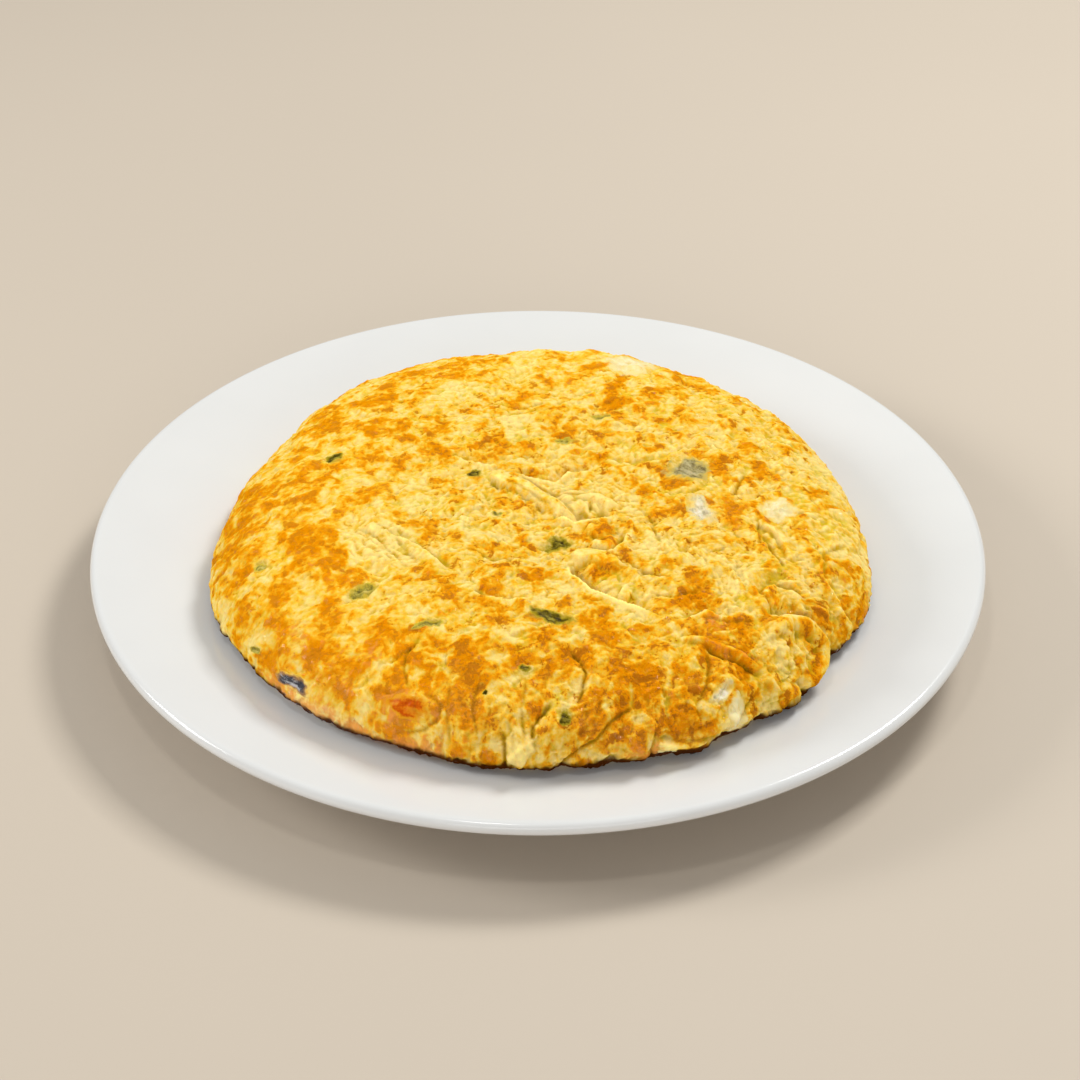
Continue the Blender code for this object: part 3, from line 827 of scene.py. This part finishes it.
def skin_fields(places):
    """Everything that varies over the skin: its height in millimetres over the smooth skin, and
    how browned, pale, wet and so on each place is."""
    wander = np.stack([ripple(places, *noise_values) for noise_values in WANDER_NOISES], axis=1)
    curl = np.stack([ripple(places, *noise_values) for noise_values in CURL_NOISES], axis=1)
    warped = places + WANDER_REACH * wander + CURL_REACH * curl

    folds, hollow, lips, wall = fold_relief(places, 1.1 * wander[:, 0] + 0.3 * curl[:, 1])
    creases, crease_lines = crease_relief(places, 1.3 * wander[:, 1] + 0.6 * curl[:, 0])
    rolls = roll_relief(places, 1.2 * wander[:, 0])
    tears, torn_edges, torn_feet = torn_relief(places, places + 1.8 * wander + 0.25 * curl)
    level, small_inside = flake_level(warped)
    fine = ripple(places + 0.6 * curl, *FINE_NOISE)
    grain = ripple(places, *GRAIN_NOISE)
    curds = 2.0 * np.abs(ripple(warped, *CURD_NOISE)) - 0.4
    small_curds = 2.0 * np.abs(ripple(warped, *SMALL_CURD_NOISE)) - 0.4
    pale_and_edge_highlight = np.clip(patches(warped, PALE_PLACES), 0.0, 1.0)
    covered = pocket_relief(places)
    leaf, veins = leaf_relief(warped)

    # The pan pressed and browned what touched it
    pressed = (0.04 + 0.42 * ripple(warped, *BROAD_NOISE) + 0.65 * ripple(warped, *MIDDLE_NOISE)
               + 0.40 * curds + 0.40 * small_curds
               + 0.14 * level + patches(places, REGIONS, 2.0)
               + 0.32 * patches(warped, BROWNED_PLACES) + 0.20 * torn_edges
               - 0.45 * pale_and_edge_highlight - 0.60 * hollow - 0.25 * lips - 0.5 * covered - 0.5 * leaf)
    browning = np.clip(0.18 + 1.25 * pressed + 0.25 * fine, 0.0, 1.3)
    rims = np.exp(-small_inside / 0.10) * ease((browning - 0.3) / 0.4)

    # The rest stayed curdled. Hollows, walls, lips and rolls are calmer
    pits = -PRESS_SOFTNESS * np.log1p(np.exp(-pressed / PRESS_SOFTNESS))
    crust = ease((browning - 0.35) / 0.3)
    rough = np.clip(1.0 + patches(places, CRUMPLED_PLACES, 2.0), 0.3, 1.2)
    calm = 1.0 - 0.7 * np.clip(hollow + wall + lips + rolls / 1.8, 0.0, 1.0)
    crumple = CRUMPLE_HEIGHT * rough * crumple_relief(places, warped, curl)
    texture = (PIT_DEPTH * pits * (1.0 - 0.5 * pale_and_edge_highlight)
               + crumple * (1.0 - 0.45 * crust)
               + (0.10 + 0.16 * crust) * fine + (0.06 + 0.10 * crust) * grain
               - 0.14 * crust * np.exp(-small_inside / 0.07) + 0.10 * crust)
    height = (mound_relief(places) + folds + creases + rolls + VEIN_HEIGHT * veins
              - POCKET_DEPTH * covered
              + calm * (tears + texture + rough * wrinkle_relief(places, curl)))
    return {
        "height": height,
        "browning": browning + 0.3 * rims,
        # Pale places, and lips and torn edges paled as painted highlight
        "pale_and_edge_highlight": np.clip(pale_and_edge_highlight + 1.0 * lips + 0.8 * torn_edges, 0.0, 1.6),
        # Fold walls, creases and the feet of torn edges, for painted shade
        "shade_in_creases": np.maximum(np.maximum(wall, crease_lines), 0.4 * torn_feet),
        "wet": np.clip(patches(places, WET_PLACES, 2.0), 0.0, 1.0),
        "level": level,
        "stain": np.clip(stain_field(warped) + 0.5 * leaf, 0.0, 1.0),
        "rosy": np.clip(patches(warped, ROSY_PLACES, 2.0), 0.0, 1.0),
        # The lower edge, for its browned underside and painted contact shade
        "edge_browning_and_shade": under_field(places, wander[:, 0]),
        "crisp": np.clip(0.75 * rough - 0.15, 0.3, 1.0),
    }


def stain_field(places):
    """How much the juice of the leaves tints each place, from 0 to 1."""
    long_share, wide_share = STAIN_SHARES
    table = [(*centre, long_share * length, wide_share * width, turn, 1.0)
             for name, node, centre, length, width, turn, crown, finish in PIECES
             if finish in STAINING]
    return np.clip(patches(places, table, 2.0), 0.0, 1.0)


def raised_skin(places, extra=0.0):
    """Points of the finished skin at flat places, raised by an extra height in millimetres, and
    the fields there."""
    points = smooth_skin(places)
    fields = skin_fields(places)
    height = fields["height"] + lump_height(points)
    length = flat_length(places)
    height = height * ease((FULL_LENGTH - length) / FADE_LENGTH)
    fields["relief"] = height
    points = points + skin_normals(places) * (height + extra)[:, None] * MM
    lowest = plate_top(flat_length(points)) + CLEARANCE
    highest = cad_box[1][2] - TOP_MARGIN
    points[:, 2] = np.clip(points[:, 2], lowest, highest)
    return points, fields


def lattice(rings):
    """Flat places and triangles of rings of corners round one corner; ring k has 6k corners."""
    places = [(0.0, 0.0)]
    for ring in range(1, rings + 1):
        for step in range(6 * ring):
            angle = 2 * math.pi * step / (6 * ring)
            length = FULL_LENGTH * ring / rings
            places.append((length * math.cos(angle), length * math.sin(angle)))

    def corner(ring, step):
        if ring == 0:
            return 0
        return 1 + 3 * ring * (ring - 1) + step % (6 * ring)

    triangles = []
    for ring in range(1, rings + 1):
        for sextant in range(6):
            for step in range(ring):
                outer = sextant * ring + step
                inner = sextant * (ring - 1) + step
                triangles.append((corner(ring, outer), corner(ring, outer + 1),
                                  corner(ring - 1, inner)))
                if step < ring - 1:
                    triangles.append((corner(ring, outer + 1), corner(ring - 1, inner + 1),
                                      corner(ring - 1, inner)))
    return np.array(places), triangles


def underside(places, points, rings):
    """Closes the skin below: rings of points from its lower edge to a flat seat, and faces."""
    count = 6 * rings
    first = len(places) - count
    edge_places, edge_points = places[first:], points[first:]
    angle = np.arctan2(edge_places[:, 1], edge_places[:, 0])
    seat = SEAT_RADIUS * np.stack((np.cos(angle), np.sin(angle)), axis=1)
    added = []
    faces = []
    above = first
    for band in range(1, UNDERSIDE_BANDS + 1):
        share = band / UNDERSIDE_BANDS
        flat = edge_points[:, :2] * (1.0 - share) + seat * share
        half_band = np.linalg.norm(edge_points[:, :2] - seat, axis=1) / UNDERSIDE_BANDS / 2
        height = plate_top(np.linalg.norm(flat, axis=1) + half_band)
        if band == UNDERSIDE_BANDS:
            height = np.full(count, FLOOR_HEIGHT)
        added.append(np.column_stack((flat, height + CLEARANCE)))
        below = first + count * band
        for step in range(count):
            follower = (step + 1) % count
            faces.append((above + follower, above + step, below + step, below + follower))
        above = below
    centre = above + count
    added.append(np.array(((0.0, 0.0, FLOOR_HEIGHT + CLEARANCE),)))
    faces += [(above + (step + 1) % count, above + step, centre) for step in range(count)]
    return np.concatenate(added), faces


def mesh_object(name, points, faces, material, values=None):
    """A smooth-shaded object from points and faces, with a number per point for each value."""
    mesh = bpy.data.meshes.new(name)
    mesh.from_pydata(np.asarray(points).tolist(), [], faces)
    for label, numbers in (values or {}).items():
        attribute = mesh.attributes.new(label, "FLOAT", "POINT")
        attribute.data.foreach_set("value", np.asarray(numbers, np.float32))
    mesh.validate()
    mesh.shade_smooth()
    mesh.materials.append(material)
    thing = bpy.data.objects.new(name, mesh)
    bpy.context.scene.collection.objects.link(thing)
    return thing


def cavities(height, faces, steps):
    """How deep each corner lies under its surroundings, in millimetres. More steps take in
    wider surroundings."""
    corners = np.array(faces)
    first = corners.ravel()
    other = np.roll(corners, -1, axis=1).ravel()
    links = np.bincount(first, minlength=len(height))
    level = height
    for step in range(steps):
        around = np.bincount(first, weights=level[other], minlength=len(height))
        level = (1.0 - LEVELLING) * level + LEVELLING * around / links
    return level - height


def build_skin(material):
    """The omelette's whole body, with its browned and creased skin."""
    rings = RINGS
    places, faces = lattice(rings)
    points, fields = raised_skin(places)
    # Depths of cavities and crevices, which the egg's colour darkens as painted shade
    fields["cavity"] = cavities(fields["relief"], faces, CAVITY_STEPS)
    fields["crevice"] = cavities(fields["relief"], faces, CREVICE_STEPS)
    below, below_faces = underside(places, points, rings)
    below_fields = {"edge_browning_and_shade": 1.0 - UNDER_FADE, "browning": 1.0}
    values = {label: np.append(fields[label], np.full(len(below), below_fields.get(label, 0.0)))
              for label in SKIN_FIELDS}
    skin = mesh_object("omelette_skin", np.concatenate((points, below)), faces + below_faces,
                       material, values)
    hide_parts("omelette")
    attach(skin, "root")


def piece_outline(seed):
    """Corners of a piece in rings round one corner, within about 1 of it, and the share of the
    way out of each."""
    corners = [(0.0, 0.0)]
    shares = [0.0]
    for ring in range(1, PIECE_RINGS + 1):
        for spoke in range(PIECE_SPOKES):
            angle = 2 * math.pi * spoke / PIECE_SPOKES
            uneven = sum((height * math.sin(waves * angle + turn * seed)
                          for waves, height, turn in BORDER_WAVES), 1.0)
            reach = ring / PIECE_RINGS * uneven
            corners.append([reach * math.copysign(abs(value) ** PIECE_SQUARENESS, value)
                            for value in (math.cos(angle), math.sin(angle))])
            shares.append(ring / PIECE_RINGS)
    return np.array(corners), np.array(shares)


def lens_faces(count):
    """Faces of a piece: its top's corners are numbered from 0 and its bottom's from count."""
    faces = []
    for spoke in range(PIECE_SPOKES):
        follower = (spoke + 1) % PIECE_SPOKES
        faces.append((0, 1 + spoke, 1 + follower))
        faces.append((count, count + 1 + follower, count + 1 + spoke))
        for ring in range(PIECE_RINGS - 1):
            inner = 1 + ring * PIECE_SPOKES
            outer = inner + PIECE_SPOKES
            faces.append((inner + spoke, outer + spoke, outer + follower, inner + follower))
            faces.append((count + inner + spoke, count + inner + follower,
                          count + outer + follower, count + outer + spoke))
    return faces


def join_border(thing):
    """Joins a piece's top and bottom where their borders meet."""
    shape = bmesh.new()
    shape.from_mesh(thing.data)
    bmesh.ops.remove_doubles(shape, verts=shape.verts[:], dist=0.01 * MM)
    shape.to_mesh(thing.data)
    shape.free()


def build_piece(name, node, centre, length, width, turn, crown, finish, material, seed):
    """A piece in the skin: a closed, uneven lens that follows the skin. Its crown stands over
    the skin and its border dips under it."""
    local, share = piece_outline(seed)
    shift = local * (length / 2, width / 2)
    places = centre + turned(shift, turn)

    dome = np.sqrt(np.clip(1.0 - share ** 2, 0.0, 1.0))
    ribs = RIB_HEIGHT * ripple(shift * (0.35, 1.0) + 40.0 * seed, *RIB_NOISE)
    top_height = POCKET_DEPTH * (1.0 - share ** 6) + crown * dome + ribs * dome - BORDER_SINK
    top, fields = raised_skin(places, top_height)
    bottom = raised_skin(places, -PIECE_DEPTH * dome - BOTTOM_SINK)[0]

    count = len(places)
    values = {label: np.tile(fields.get(label, np.zeros(count)), 2) for label in SKIN_FIELDS}
    values["along"] = np.tile(shift[:, 0], 2)
    values["across"] = np.tile(shift[:, 1], 2)
    values["share"] = np.tile(share, 2)
    piece = mesh_object(name, np.concatenate((top, bottom)), lens_faces(count), material, values)
    join_border(piece)
    if node is not None:
        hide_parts(node)
    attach(piece, "root")


def arc(centre, radius, start, end, steps):
    """Points of an arc in the plate's section, angles in degrees."""
    return [(centre[0] + radius * math.cos(math.radians(angle)),
             centre[1] + radius * math.sin(math.radians(angle)))
            for angle in np.linspace(start, end, steps)]


def plate_line(start, end, steps, below=0.0):
    """Points of the plate's section between two radii, on its upper face or so far below it."""
    return [(radius, float(plate_top(radius)) - below) for radius in np.linspace(start, end, steps)]


def plate_section():
    """Radius and height of the plate's section, from the axis over the lip and back below."""
    lip = LIP_THICKNESS / 2
    recess_height = FLOOR_HEIGHT - FLOOR_THICKNESS
    foot_inner = FOOT_RADIUS - FOOT_WIDTH
    points = plate_line(0.0, FLOOR_RADIUS - 4 * MM, 12)
    points += plate_line(FLOOR_RADIUS, RIM_INNER_RADIUS, 20)
    points += plate_line(RIM_INNER_RADIUS + 4 * MM, PLATE_RADIUS - lip - 1 * MM, 8)
    points += arc((PLATE_RADIUS - lip, LIP_HEIGHT - lip), lip, 90, -90, 17)
    points += plate_line(PLATE_RADIUS - 6 * MM, RIM_INNER_RADIUS + 1 * MM, 6, LIP_THICKNESS)
    points.append((RIM_INNER_RADIUS - 5 * MM, RIM_INNER_HEIGHT - 2 * LIP_THICKNESS))
    points.append((FOOT_RADIUS + 1 * MM, recess_height - 1 * MM))
    points += arc((FOOT_RADIUS - FOOT_ROUNDING, FOOT_ROUNDING), FOOT_ROUNDING, 0, -90, 6)
    points += arc((foot_inner + FOOT_ROUNDING, FOOT_ROUNDING), FOOT_ROUNDING, -90, -180, 6)
    points.append((foot_inner - 1.5 * MM, recess_height))
    points += [(radius, recess_height) for radius in np.linspace(foot_inner - 6 * MM, 0.0, 8)]
    return points


def build_plate(material):
    """The glazed plate: its section turned about the axis in fine steps."""
    section = plate_section()
    points = [(0.0, 0.0, section[0][1])]
    for radius, height in section[1:-1]:
        for step in range(PLATE_STEPS):
            angle = 2 * math.pi * step / PLATE_STEPS
            points.append((radius * math.cos(angle), radius * math.sin(angle), height))
    points.append((0.0, 0.0, section[-1][1]))

    faces = []
    last = len(points) - 1
    loops = len(section) - 2
    for step in range(PLATE_STEPS):
        follower = (step + 1) % PLATE_STEPS
        faces.append((0, 1 + step, 1 + follower))
        for loop in range(loops - 1):
            inner = 1 + loop * PLATE_STEPS
            outer = inner + PLATE_STEPS
            faces.append((inner + step, outer + step, outer + follower, inner + follower))
        ending = 1 + (loops - 1) * PLATE_STEPS
        faces.append((last, ending + follower, ending + step))
    plate = mesh_object("plate_glazed", points, faces, material)
    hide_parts("plate")
    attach(plate, "root")


class Nodes:
    """Short calls that build one material's node tree."""

    def __init__(self, name):
        self.material = bpy.data.materials.new(name)
        self.material.use_nodes = True
        self.tree = self.material.node_tree

    def put(self, socket, value):
        """Links an output to a socket, or sets the socket's own value."""
        if isinstance(value, bpy.types.NodeSocket):
            self.tree.links.new(value, socket)
        else:
            socket.default_value = value

    def set(self, label, value):
        """Links or sets a socket of the material's shader."""
        self.put(self.tree.nodes["Principled BSDF"].inputs[label], value)

    def add(self, kind, output, inputs, **settings):
        """Adds a node with its settings and with values or links in its inputs. Gives one of its
        outputs."""
        node = self.tree.nodes.new("ShaderNode" + kind)
        for label, value in settings.items():
            setattr(node, label, value)
        for label, value in inputs.items():
            self.put(node.inputs[label], value)
        return node.outputs[output]

    def attribute(self, label):
        return self.add("Attribute", "Fac", {}, attribute_name=label)

    def maths(self, operation, first, second=0.0, clamp=False):
        return self.add("Math", 0, {0: first, 1: second}, operation=operation, use_clamp=clamp)

    def times(self, first, second):
        return self.maths("MULTIPLY", first, second)

    def total(self, *parts):
        """Sum of (value, weight) pairs."""
        result = None
        for value, weight in parts:
            part = self.times(value, weight)
            result = part if result is None else self.maths("ADD", result, part)
        return result

    def place(self):
        """Coordinates in metres, fixed to the object."""
        return self.add("TexCoord", "Object", {})

    def stretched(self, *factors):
        """Coordinates in metres scaled along x, y and z: under 1 draws a pattern out."""
        return self.add("VectorMath", "Vector", {0: self.place(), 1: factors}, operation="MULTIPLY")

    def noise(self, size, detail=2.0, distortion=0.0, vector=None):
        """Noise about 0, from -0.5 to 0.5, with bumps of one size in metres."""
        noise_level = self.add("TexNoise", "Fac", {
            "Scale": 1.0 / size, "Detail": detail, "Distortion": distortion,
            "Vector": self.place() if vector is None else vector})
        return self.maths("SUBTRACT", noise_level, 0.5)

    def step(self, value, low, high):
        """A smooth step from 0 at low to 1 at high."""
        return self.add("MapRange", "Result", {"Value": value, "From Min": low, "From Max": high},
                        interpolation_type="SMOOTHSTEP")

    def ramp(self, value, stops):
        """A colour ramp: (position, colour) pairs."""
        node = self.tree.nodes.new("ShaderNodeValToRGB")
        elements = node.color_ramp.elements
        while len(elements) < len(stops):
            elements.new(0.5)
        for element, (position, colour) in zip(elements, stops):
            element.position = position
            element.color = (*colour, 1.0)
        self.put(node.inputs["Fac"], value)
        return node.outputs["Color"]

    def blend(self, share, first, second):
        """Colour that goes from first to second with the share."""
        colours = [(*colour, 1.0) if isinstance(colour, tuple) else colour
                   for colour in (first, second)]
        return self.add("Mix", "Result", {"Factor": share, "A": colours[0], "B": colours[1]},
                        data_type="RGBA")

    def tone(self, colour, factor):
        """Colour made lighter or darker by a factor."""
        return self.add("VectorMath", "Vector", {0: colour, "Scale": factor}, operation="SCALE")

    def bump(self, height, depth):
        """Fine relief: the height from 0 to 1 stands for a depth in metres."""
        return self.add("Bump", "Normal", {"Height": height, "Distance": depth})


# Colours of the egg, linear
CREAM = (0.89, 0.675, 0.22)
BUTTER = (0.88, 0.61, 0.155)
YELLOW = (0.86, 0.535, 0.060)
GOLD = (0.84, 0.43, 0.018)
AMBER = (0.80, 0.320, 0.005)
ORANGE = (0.74, 0.255, 0.001)
TAN = (0.60, 0.27, 0.018)
BROWN = (0.43, 0.120, 0.003)
# Lemon: the egg's own tint, also painted into its cavities as shade
LEMON = (0.70, 0.50, 0.012)
OLIVE = (0.42, 0.32, 0.04)
# Painted shade in creases, on fold walls and at the feet of torn edges
PAINTED_CREASE_SHADE = (0.44, 0.22, 0.003)
ROSY = (0.78, 0.295, 0.055)
# Dark brown of the lower edge: browned underside and painted contact shade
EDGE_BROWN_AND_SHADE = (0.060, 0.014, 0.001)

# From pale to browned: position and colour
EGG_TONES = ((0.0, CREAM), (0.16, BUTTER), (0.42, YELLOW), (0.66, GOLD), (0.86, AMBER),
             (1.0, ORANGE))


def egg_colour(nodes):
    """Set egg: creamy and yellow where it stayed pale, browned to gold, amber and brown. Shade
    is painted into its cavities, crevices, creases and fold walls and along its lower edge, and
    highlight along its fold lips and torn edges. Gives its colour, and a grain that stands up
    where it is browned."""
    (browning, pale_and_edge_highlight, shade_in_creases, wet, level, stain, rosy, edge_browning_and_shade, crisp, cavity,
     crevice) = [nodes.attribute(label) for label in SKIN_FIELDS]

    drawn = nodes.stretched(1.0, 1.0, 0.4)
    cloud = nodes.noise(6.0 * MM, 3.0, 0.8, drawn)
    mottle = nodes.noise(2.4 * MM, 3.0, 0.6, drawn)
    spot = nodes.noise(3.4 * MM, 2.0, 0.6, drawn)
    speck = nodes.noise(1.0 * MM, 2.0, 0.3)
    dust = nodes.noise(0.5 * MM, 1.0)
    tinge = nodes.noise(9.0 * MM, 2.0, 0.5)
    fleck = nodes.times(nodes.total((speck, 1.2), (dust, 0.5)), crisp)

    # How browned the egg is, with painted light: crevices turn browner as painted shade, and the
    # pale term carries painted highlight on lips and torn edges
    heat_and_painted_light = nodes.total((browning, 0.95), (pale_and_edge_highlight, -0.30), (level, -0.14), (cloud, 1.0), (mottle, 1.5),
                       (spot, 1.3), (fleck, 0.8), (cavity, -0.12), (crevice, 0.7))
    colour = nodes.ramp(nodes.step(heat_and_painted_light, -0.45, 1.00), EGG_TONES)
    # Lemon tint at random, and painted shade in cavities, which turn lemon the deeper they lie
    lemon_tint_and_hollow_shade = nodes.total((tinge, 1.6), (mottle, 1.2), (cavity, 0.45), (crisp, 0.35), (browning, -0.3))
    colour = nodes.blend(nodes.times(nodes.step(lemon_tint_and_hollow_shade, 0.20, 0.85), 0.7), colour, LEMON)
    juice = nodes.total((stain, 0.8), (mottle, 1.0), (speck, 0.5))
    colour = nodes.blend(nodes.step(juice, 0.30, 1.2), colour, OLIVE)

    toast = nodes.total((heat_and_painted_light, 0.55), (spot, 3.0), (speck, 1.0), (dust, 0.4))
    dry = nodes.total((toast, 1.0), (tinge, -1.5))
    colour = nodes.blend(nodes.times(nodes.step(dry, 0.60, 1.0), crisp), colour, TAN)
    colour = nodes.blend(nodes.times(nodes.step(toast, 0.68, 0.90), crisp), colour, BROWN)
    flush = nodes.total((rosy, 1.0), (mottle, 2.0), (speck, 0.8))
    colour = nodes.blend(nodes.times(nodes.step(flush, 0.2, 0.85), 0.85), colour, ROSY)

    # Painted shade: darker in cavities and crevices, and darker where the skin is crisp, so that its
    # calmer left, back and front left look more brightly lit. The flecks vary at random
    painted_shade = nodes.total((fleck, 0.25), (cavity, -0.10), (crevice, -0.38), (crisp, -0.12))
    colour = nodes.tone(colour, nodes.maths("ADD", painted_shade, 1.08))
    # Painted shade along creases, fold walls and the feet of torn edges
    colour = nodes.blend(nodes.times(shade_in_creases, 0.6), colour, PAINTED_CREASE_SHADE)
    # The lower edge: browned underside and painted contact shade
    colour = nodes.blend(edge_browning_and_shade, colour, EDGE_BROWN_AND_SHADE)

    grain = nodes.total((mottle, 0.6), (speck, 0.6), (dust, 0.4))
    return colour, nodes.times(grain, nodes.total((browning, 0.4), (crisp, 0.5)))


def egg_material():
    """The omelette's skin, with small wet glints in its glossy places."""
    nodes = Nodes("egg_skin")
    colour, grain = egg_colour(nodes)
    nodes.set("Base Color", colour)
    normal = nodes.bump(grain, 0.8 * MM)
    nodes.set("Normal", normal)
    nodes.set("Coat Normal", normal)

    wet = nodes.attribute("wet")
    roughness = nodes.total((nodes.noise(1.1 * MM), 0.5), (wet, -0.22))
    nodes.set("Roughness", nodes.maths("ADD", roughness, 0.48, clamp=True))
    glint = nodes.step(nodes.noise(1.8 * MM, 2.0), 0.10, 0.17)
    glint = nodes.times(glint, nodes.maths("ADD", wet, 0.6))
    nodes.set("Coat Weight", nodes.total((wet, 0.25), (glint, 0.8)))
    nodes.set("Coat Roughness", 0.09)
    nodes.set("Specular IOR Level", 0.0)
    nodes.set("Subsurface Weight", 0.3)
    nodes.set("Subsurface Radius", (1.0, 0.5, 0.12))
    nodes.set("Subsurface Scale", 0.8 * MM)
    return nodes.material


def porcelain_material():
    """White glaze with a trace of unevenness."""
    nodes = Nodes("glazed_porcelain")
    cloud = nodes.step(nodes.noise(25 * MM, 2.0), -0.4, 0.4)
    nodes.set("Base Color", nodes.blend(cloud, (0.735, 0.74, 0.74), (0.755, 0.76, 0.76)))
    roughness = nodes.times(nodes.noise(9 * MM, 2.0), 0.06)
    nodes.set("Roughness", nodes.maths("ADD", roughness, 0.15))
    nodes.set("Normal", nodes.bump(nodes.noise(14 * MM, 1.0), 0.10 * MM))
    return nodes.material


# Finish of each kind of piece: the material's name, then its dark, middle and light colour and
# the colour of the thin egg over its border, all linear, then the width of its stripes in
# millimetres, its roughness and the share of light that goes into it
FINISHES = {
    "potato": ("potato_flesh", (0.83, 0.65, 0.24), (0.89, 0.76, 0.40), (0.91, 0.83, 0.53),
               (0.88, 0.71, 0.31), 2.5, 0.42, 0.4),
    "onion": ("cooked_onion", (0.48, 0.40, 0.24), (0.76, 0.66, 0.42), (0.90, 0.84, 0.68),
              (0.84, 0.66, 0.26), 1.4, 0.18, 0.4),
    "grey_leek": ("grey_leek_leaf", (0.15, 0.110, 0.035), (0.38, 0.32, 0.14),
                  (0.60, 0.52, 0.31), (0.60, 0.46, 0.12), 1.3, 0.35, 0.3),
    "pale_leek": ("pale_leek_leaf", (0.13, 0.105, 0.02), (0.38, 0.31, 0.045),
                  (0.64, 0.53, 0.14), (0.64, 0.47, 0.04), 1.2, 0.40, 0.3),
    "dark_leek": ("dark_leek_leaf", (0.040, 0.025, 0.001), (0.12, 0.088, 0.004),
                  (0.36, 0.29, 0.035), (0.42, 0.31, 0.012), 0.9, 0.35, 0.15),
    "skin": ("vegetable_skin", (0.030, 0.030, 0.036), (0.08, 0.08, 0.095), (0.55, 0.55, 0.58),
             (0.46, 0.24, 0.08), 1.2, 0.16, 0.1),
    "pepper": ("red_pepper", (0.54, 0.06, 0.001), (0.72, 0.15, 0.002), (0.82, 0.29, 0.01),
               (0.82, 0.36, 0.01), 1.6, 0.30, 0.2),
}


def piece_material(name, dark, middle, light, veil, stripe_width, roughness, scattering):
    """A cooked piece: stripes along its length over cloudy colour. Thin egg veils its border,
    and the skin's own egg covers its rim."""
    nodes = Nodes(name)
    drawn = nodes.add("CombineXYZ", "Vector", {
        "X": nodes.times(nodes.attribute("along"), 0.22 * MM),
        "Y": nodes.times(nodes.attribute("across"), MM)})
    stripes = nodes.noise(stripe_width * MM, 2.0, 0.3, drawn)
    cloud = nodes.noise(2.4 * MM, 3.0, 0.3)
    speck = nodes.noise(0.5 * MM, 2.0)
    share = nodes.attribute("share")
    tone = nodes.total((stripes, 1.5), (cloud, 1.1), (speck, 0.5), (share, -0.15))
    colour = nodes.ramp(nodes.step(tone, -0.5, 0.42), ((0.0, dark), (0.5, middle), (1.0, light)))
    film = nodes.total((share, 1.0), (nodes.noise(3.0 * MM, 1.0), 1.1), (speck, 0.3))
    colour = nodes.blend(nodes.step(film, 0.40, 0.78), colour, veil)
    egg = egg_colour(nodes)[0]
    nodes.set("Base Color", nodes.blend(nodes.step(film, 0.66, 0.94), colour, egg))
    grain = nodes.total((stripes, 0.7), (speck, 0.4))
    nodes.set("Normal", nodes.bump(grain, 0.22 * MM))
    nodes.set("Roughness", roughness)
    nodes.set("Subsurface Weight", scattering)
    nodes.set("Subsurface Radius", (1.0, 0.6, 0.3))
    nodes.set("Subsurface Scale", 1.0 * MM)
    nodes.set("Specular IOR Level", 0.05)
    return nodes.material


def floor_material():
    """A plain matt floor with a trace of unevenness."""
    nodes = Nodes("studio_floor")
    cloud = nodes.step(nodes.noise(0.3, 2.0), -0.4, 0.4)
    darker = tuple(0.97 * part for part in FLOOR_COLOUR)
    nodes.set("Base Color", nodes.blend(cloud, darker, FLOOR_COLOUR))
    nodes.set("Roughness", 0.7)
    return nodes.material


def build_floor():
    half = FLOOR_SIZE / 2
    corners = ((-half, -half, 0.0), (half, -half, 0.0), (half, half, 0.0), (-half, half, 0.0))
    floor = mesh_object("studio_floor", corners, [(0, 1, 2, 3)], floor_material())


def aimed_object(name, data, place, target):
    """A camera or light at a place, pointed at a target."""
    added = bpy.data.objects.new(name, data)
    bpy.context.scene.collection.objects.link(added)
    added.location = place
    direction = Vector(target) - Vector(place)
    added.rotation_euler = direction.to_track_quat("-Z", "Y").to_euler()
    return added


def build_camera():
    camera = bpy.data.cameras.new("camera")
    camera.sensor_width = SENSOR
    camera.lens = SENSOR / 2 / math.tan(FIELD_OF_VIEW / 2)
    camera.clip_start = 50 * MM
    bpy.context.scene.camera = aimed_object("camera", camera, CAMERA_PLACE, CAMERA_AIM)


def build_lights():
    for name, place, width, height, power, colour in LIGHTS:
        light = bpy.data.lights.new(name, "AREA")
        light.shape = "RECTANGLE"
        light.size = width
        light.size_y = height
        light.energy = power
        light.color = colour
        aimed_object(name, light, place, (0.0, 0.0, 0.0))
    world = bpy.data.worlds.new("studio")
    world.use_nodes = True
    background = world.node_tree.nodes["Background"]
    background.inputs["Color"].default_value = (*WORLD_COLOUR, 1.0)
    background.inputs["Strength"].default_value = WORLD_STRENGTH
    bpy.context.scene.world = world
    bpy.context.scene.view_settings.view_transform = "Standard"


def main():
    build_camera()
    build_lights()
    build_floor()
    build_plate(porcelain_material())
    build_skin(egg_material())
    materials = {label: piece_material(*finish) for label, finish in FINISHES.items()}
    for seed, piece in enumerate(PIECES):
        build_piece(*piece, materials[piece[-1]], seed)


main()
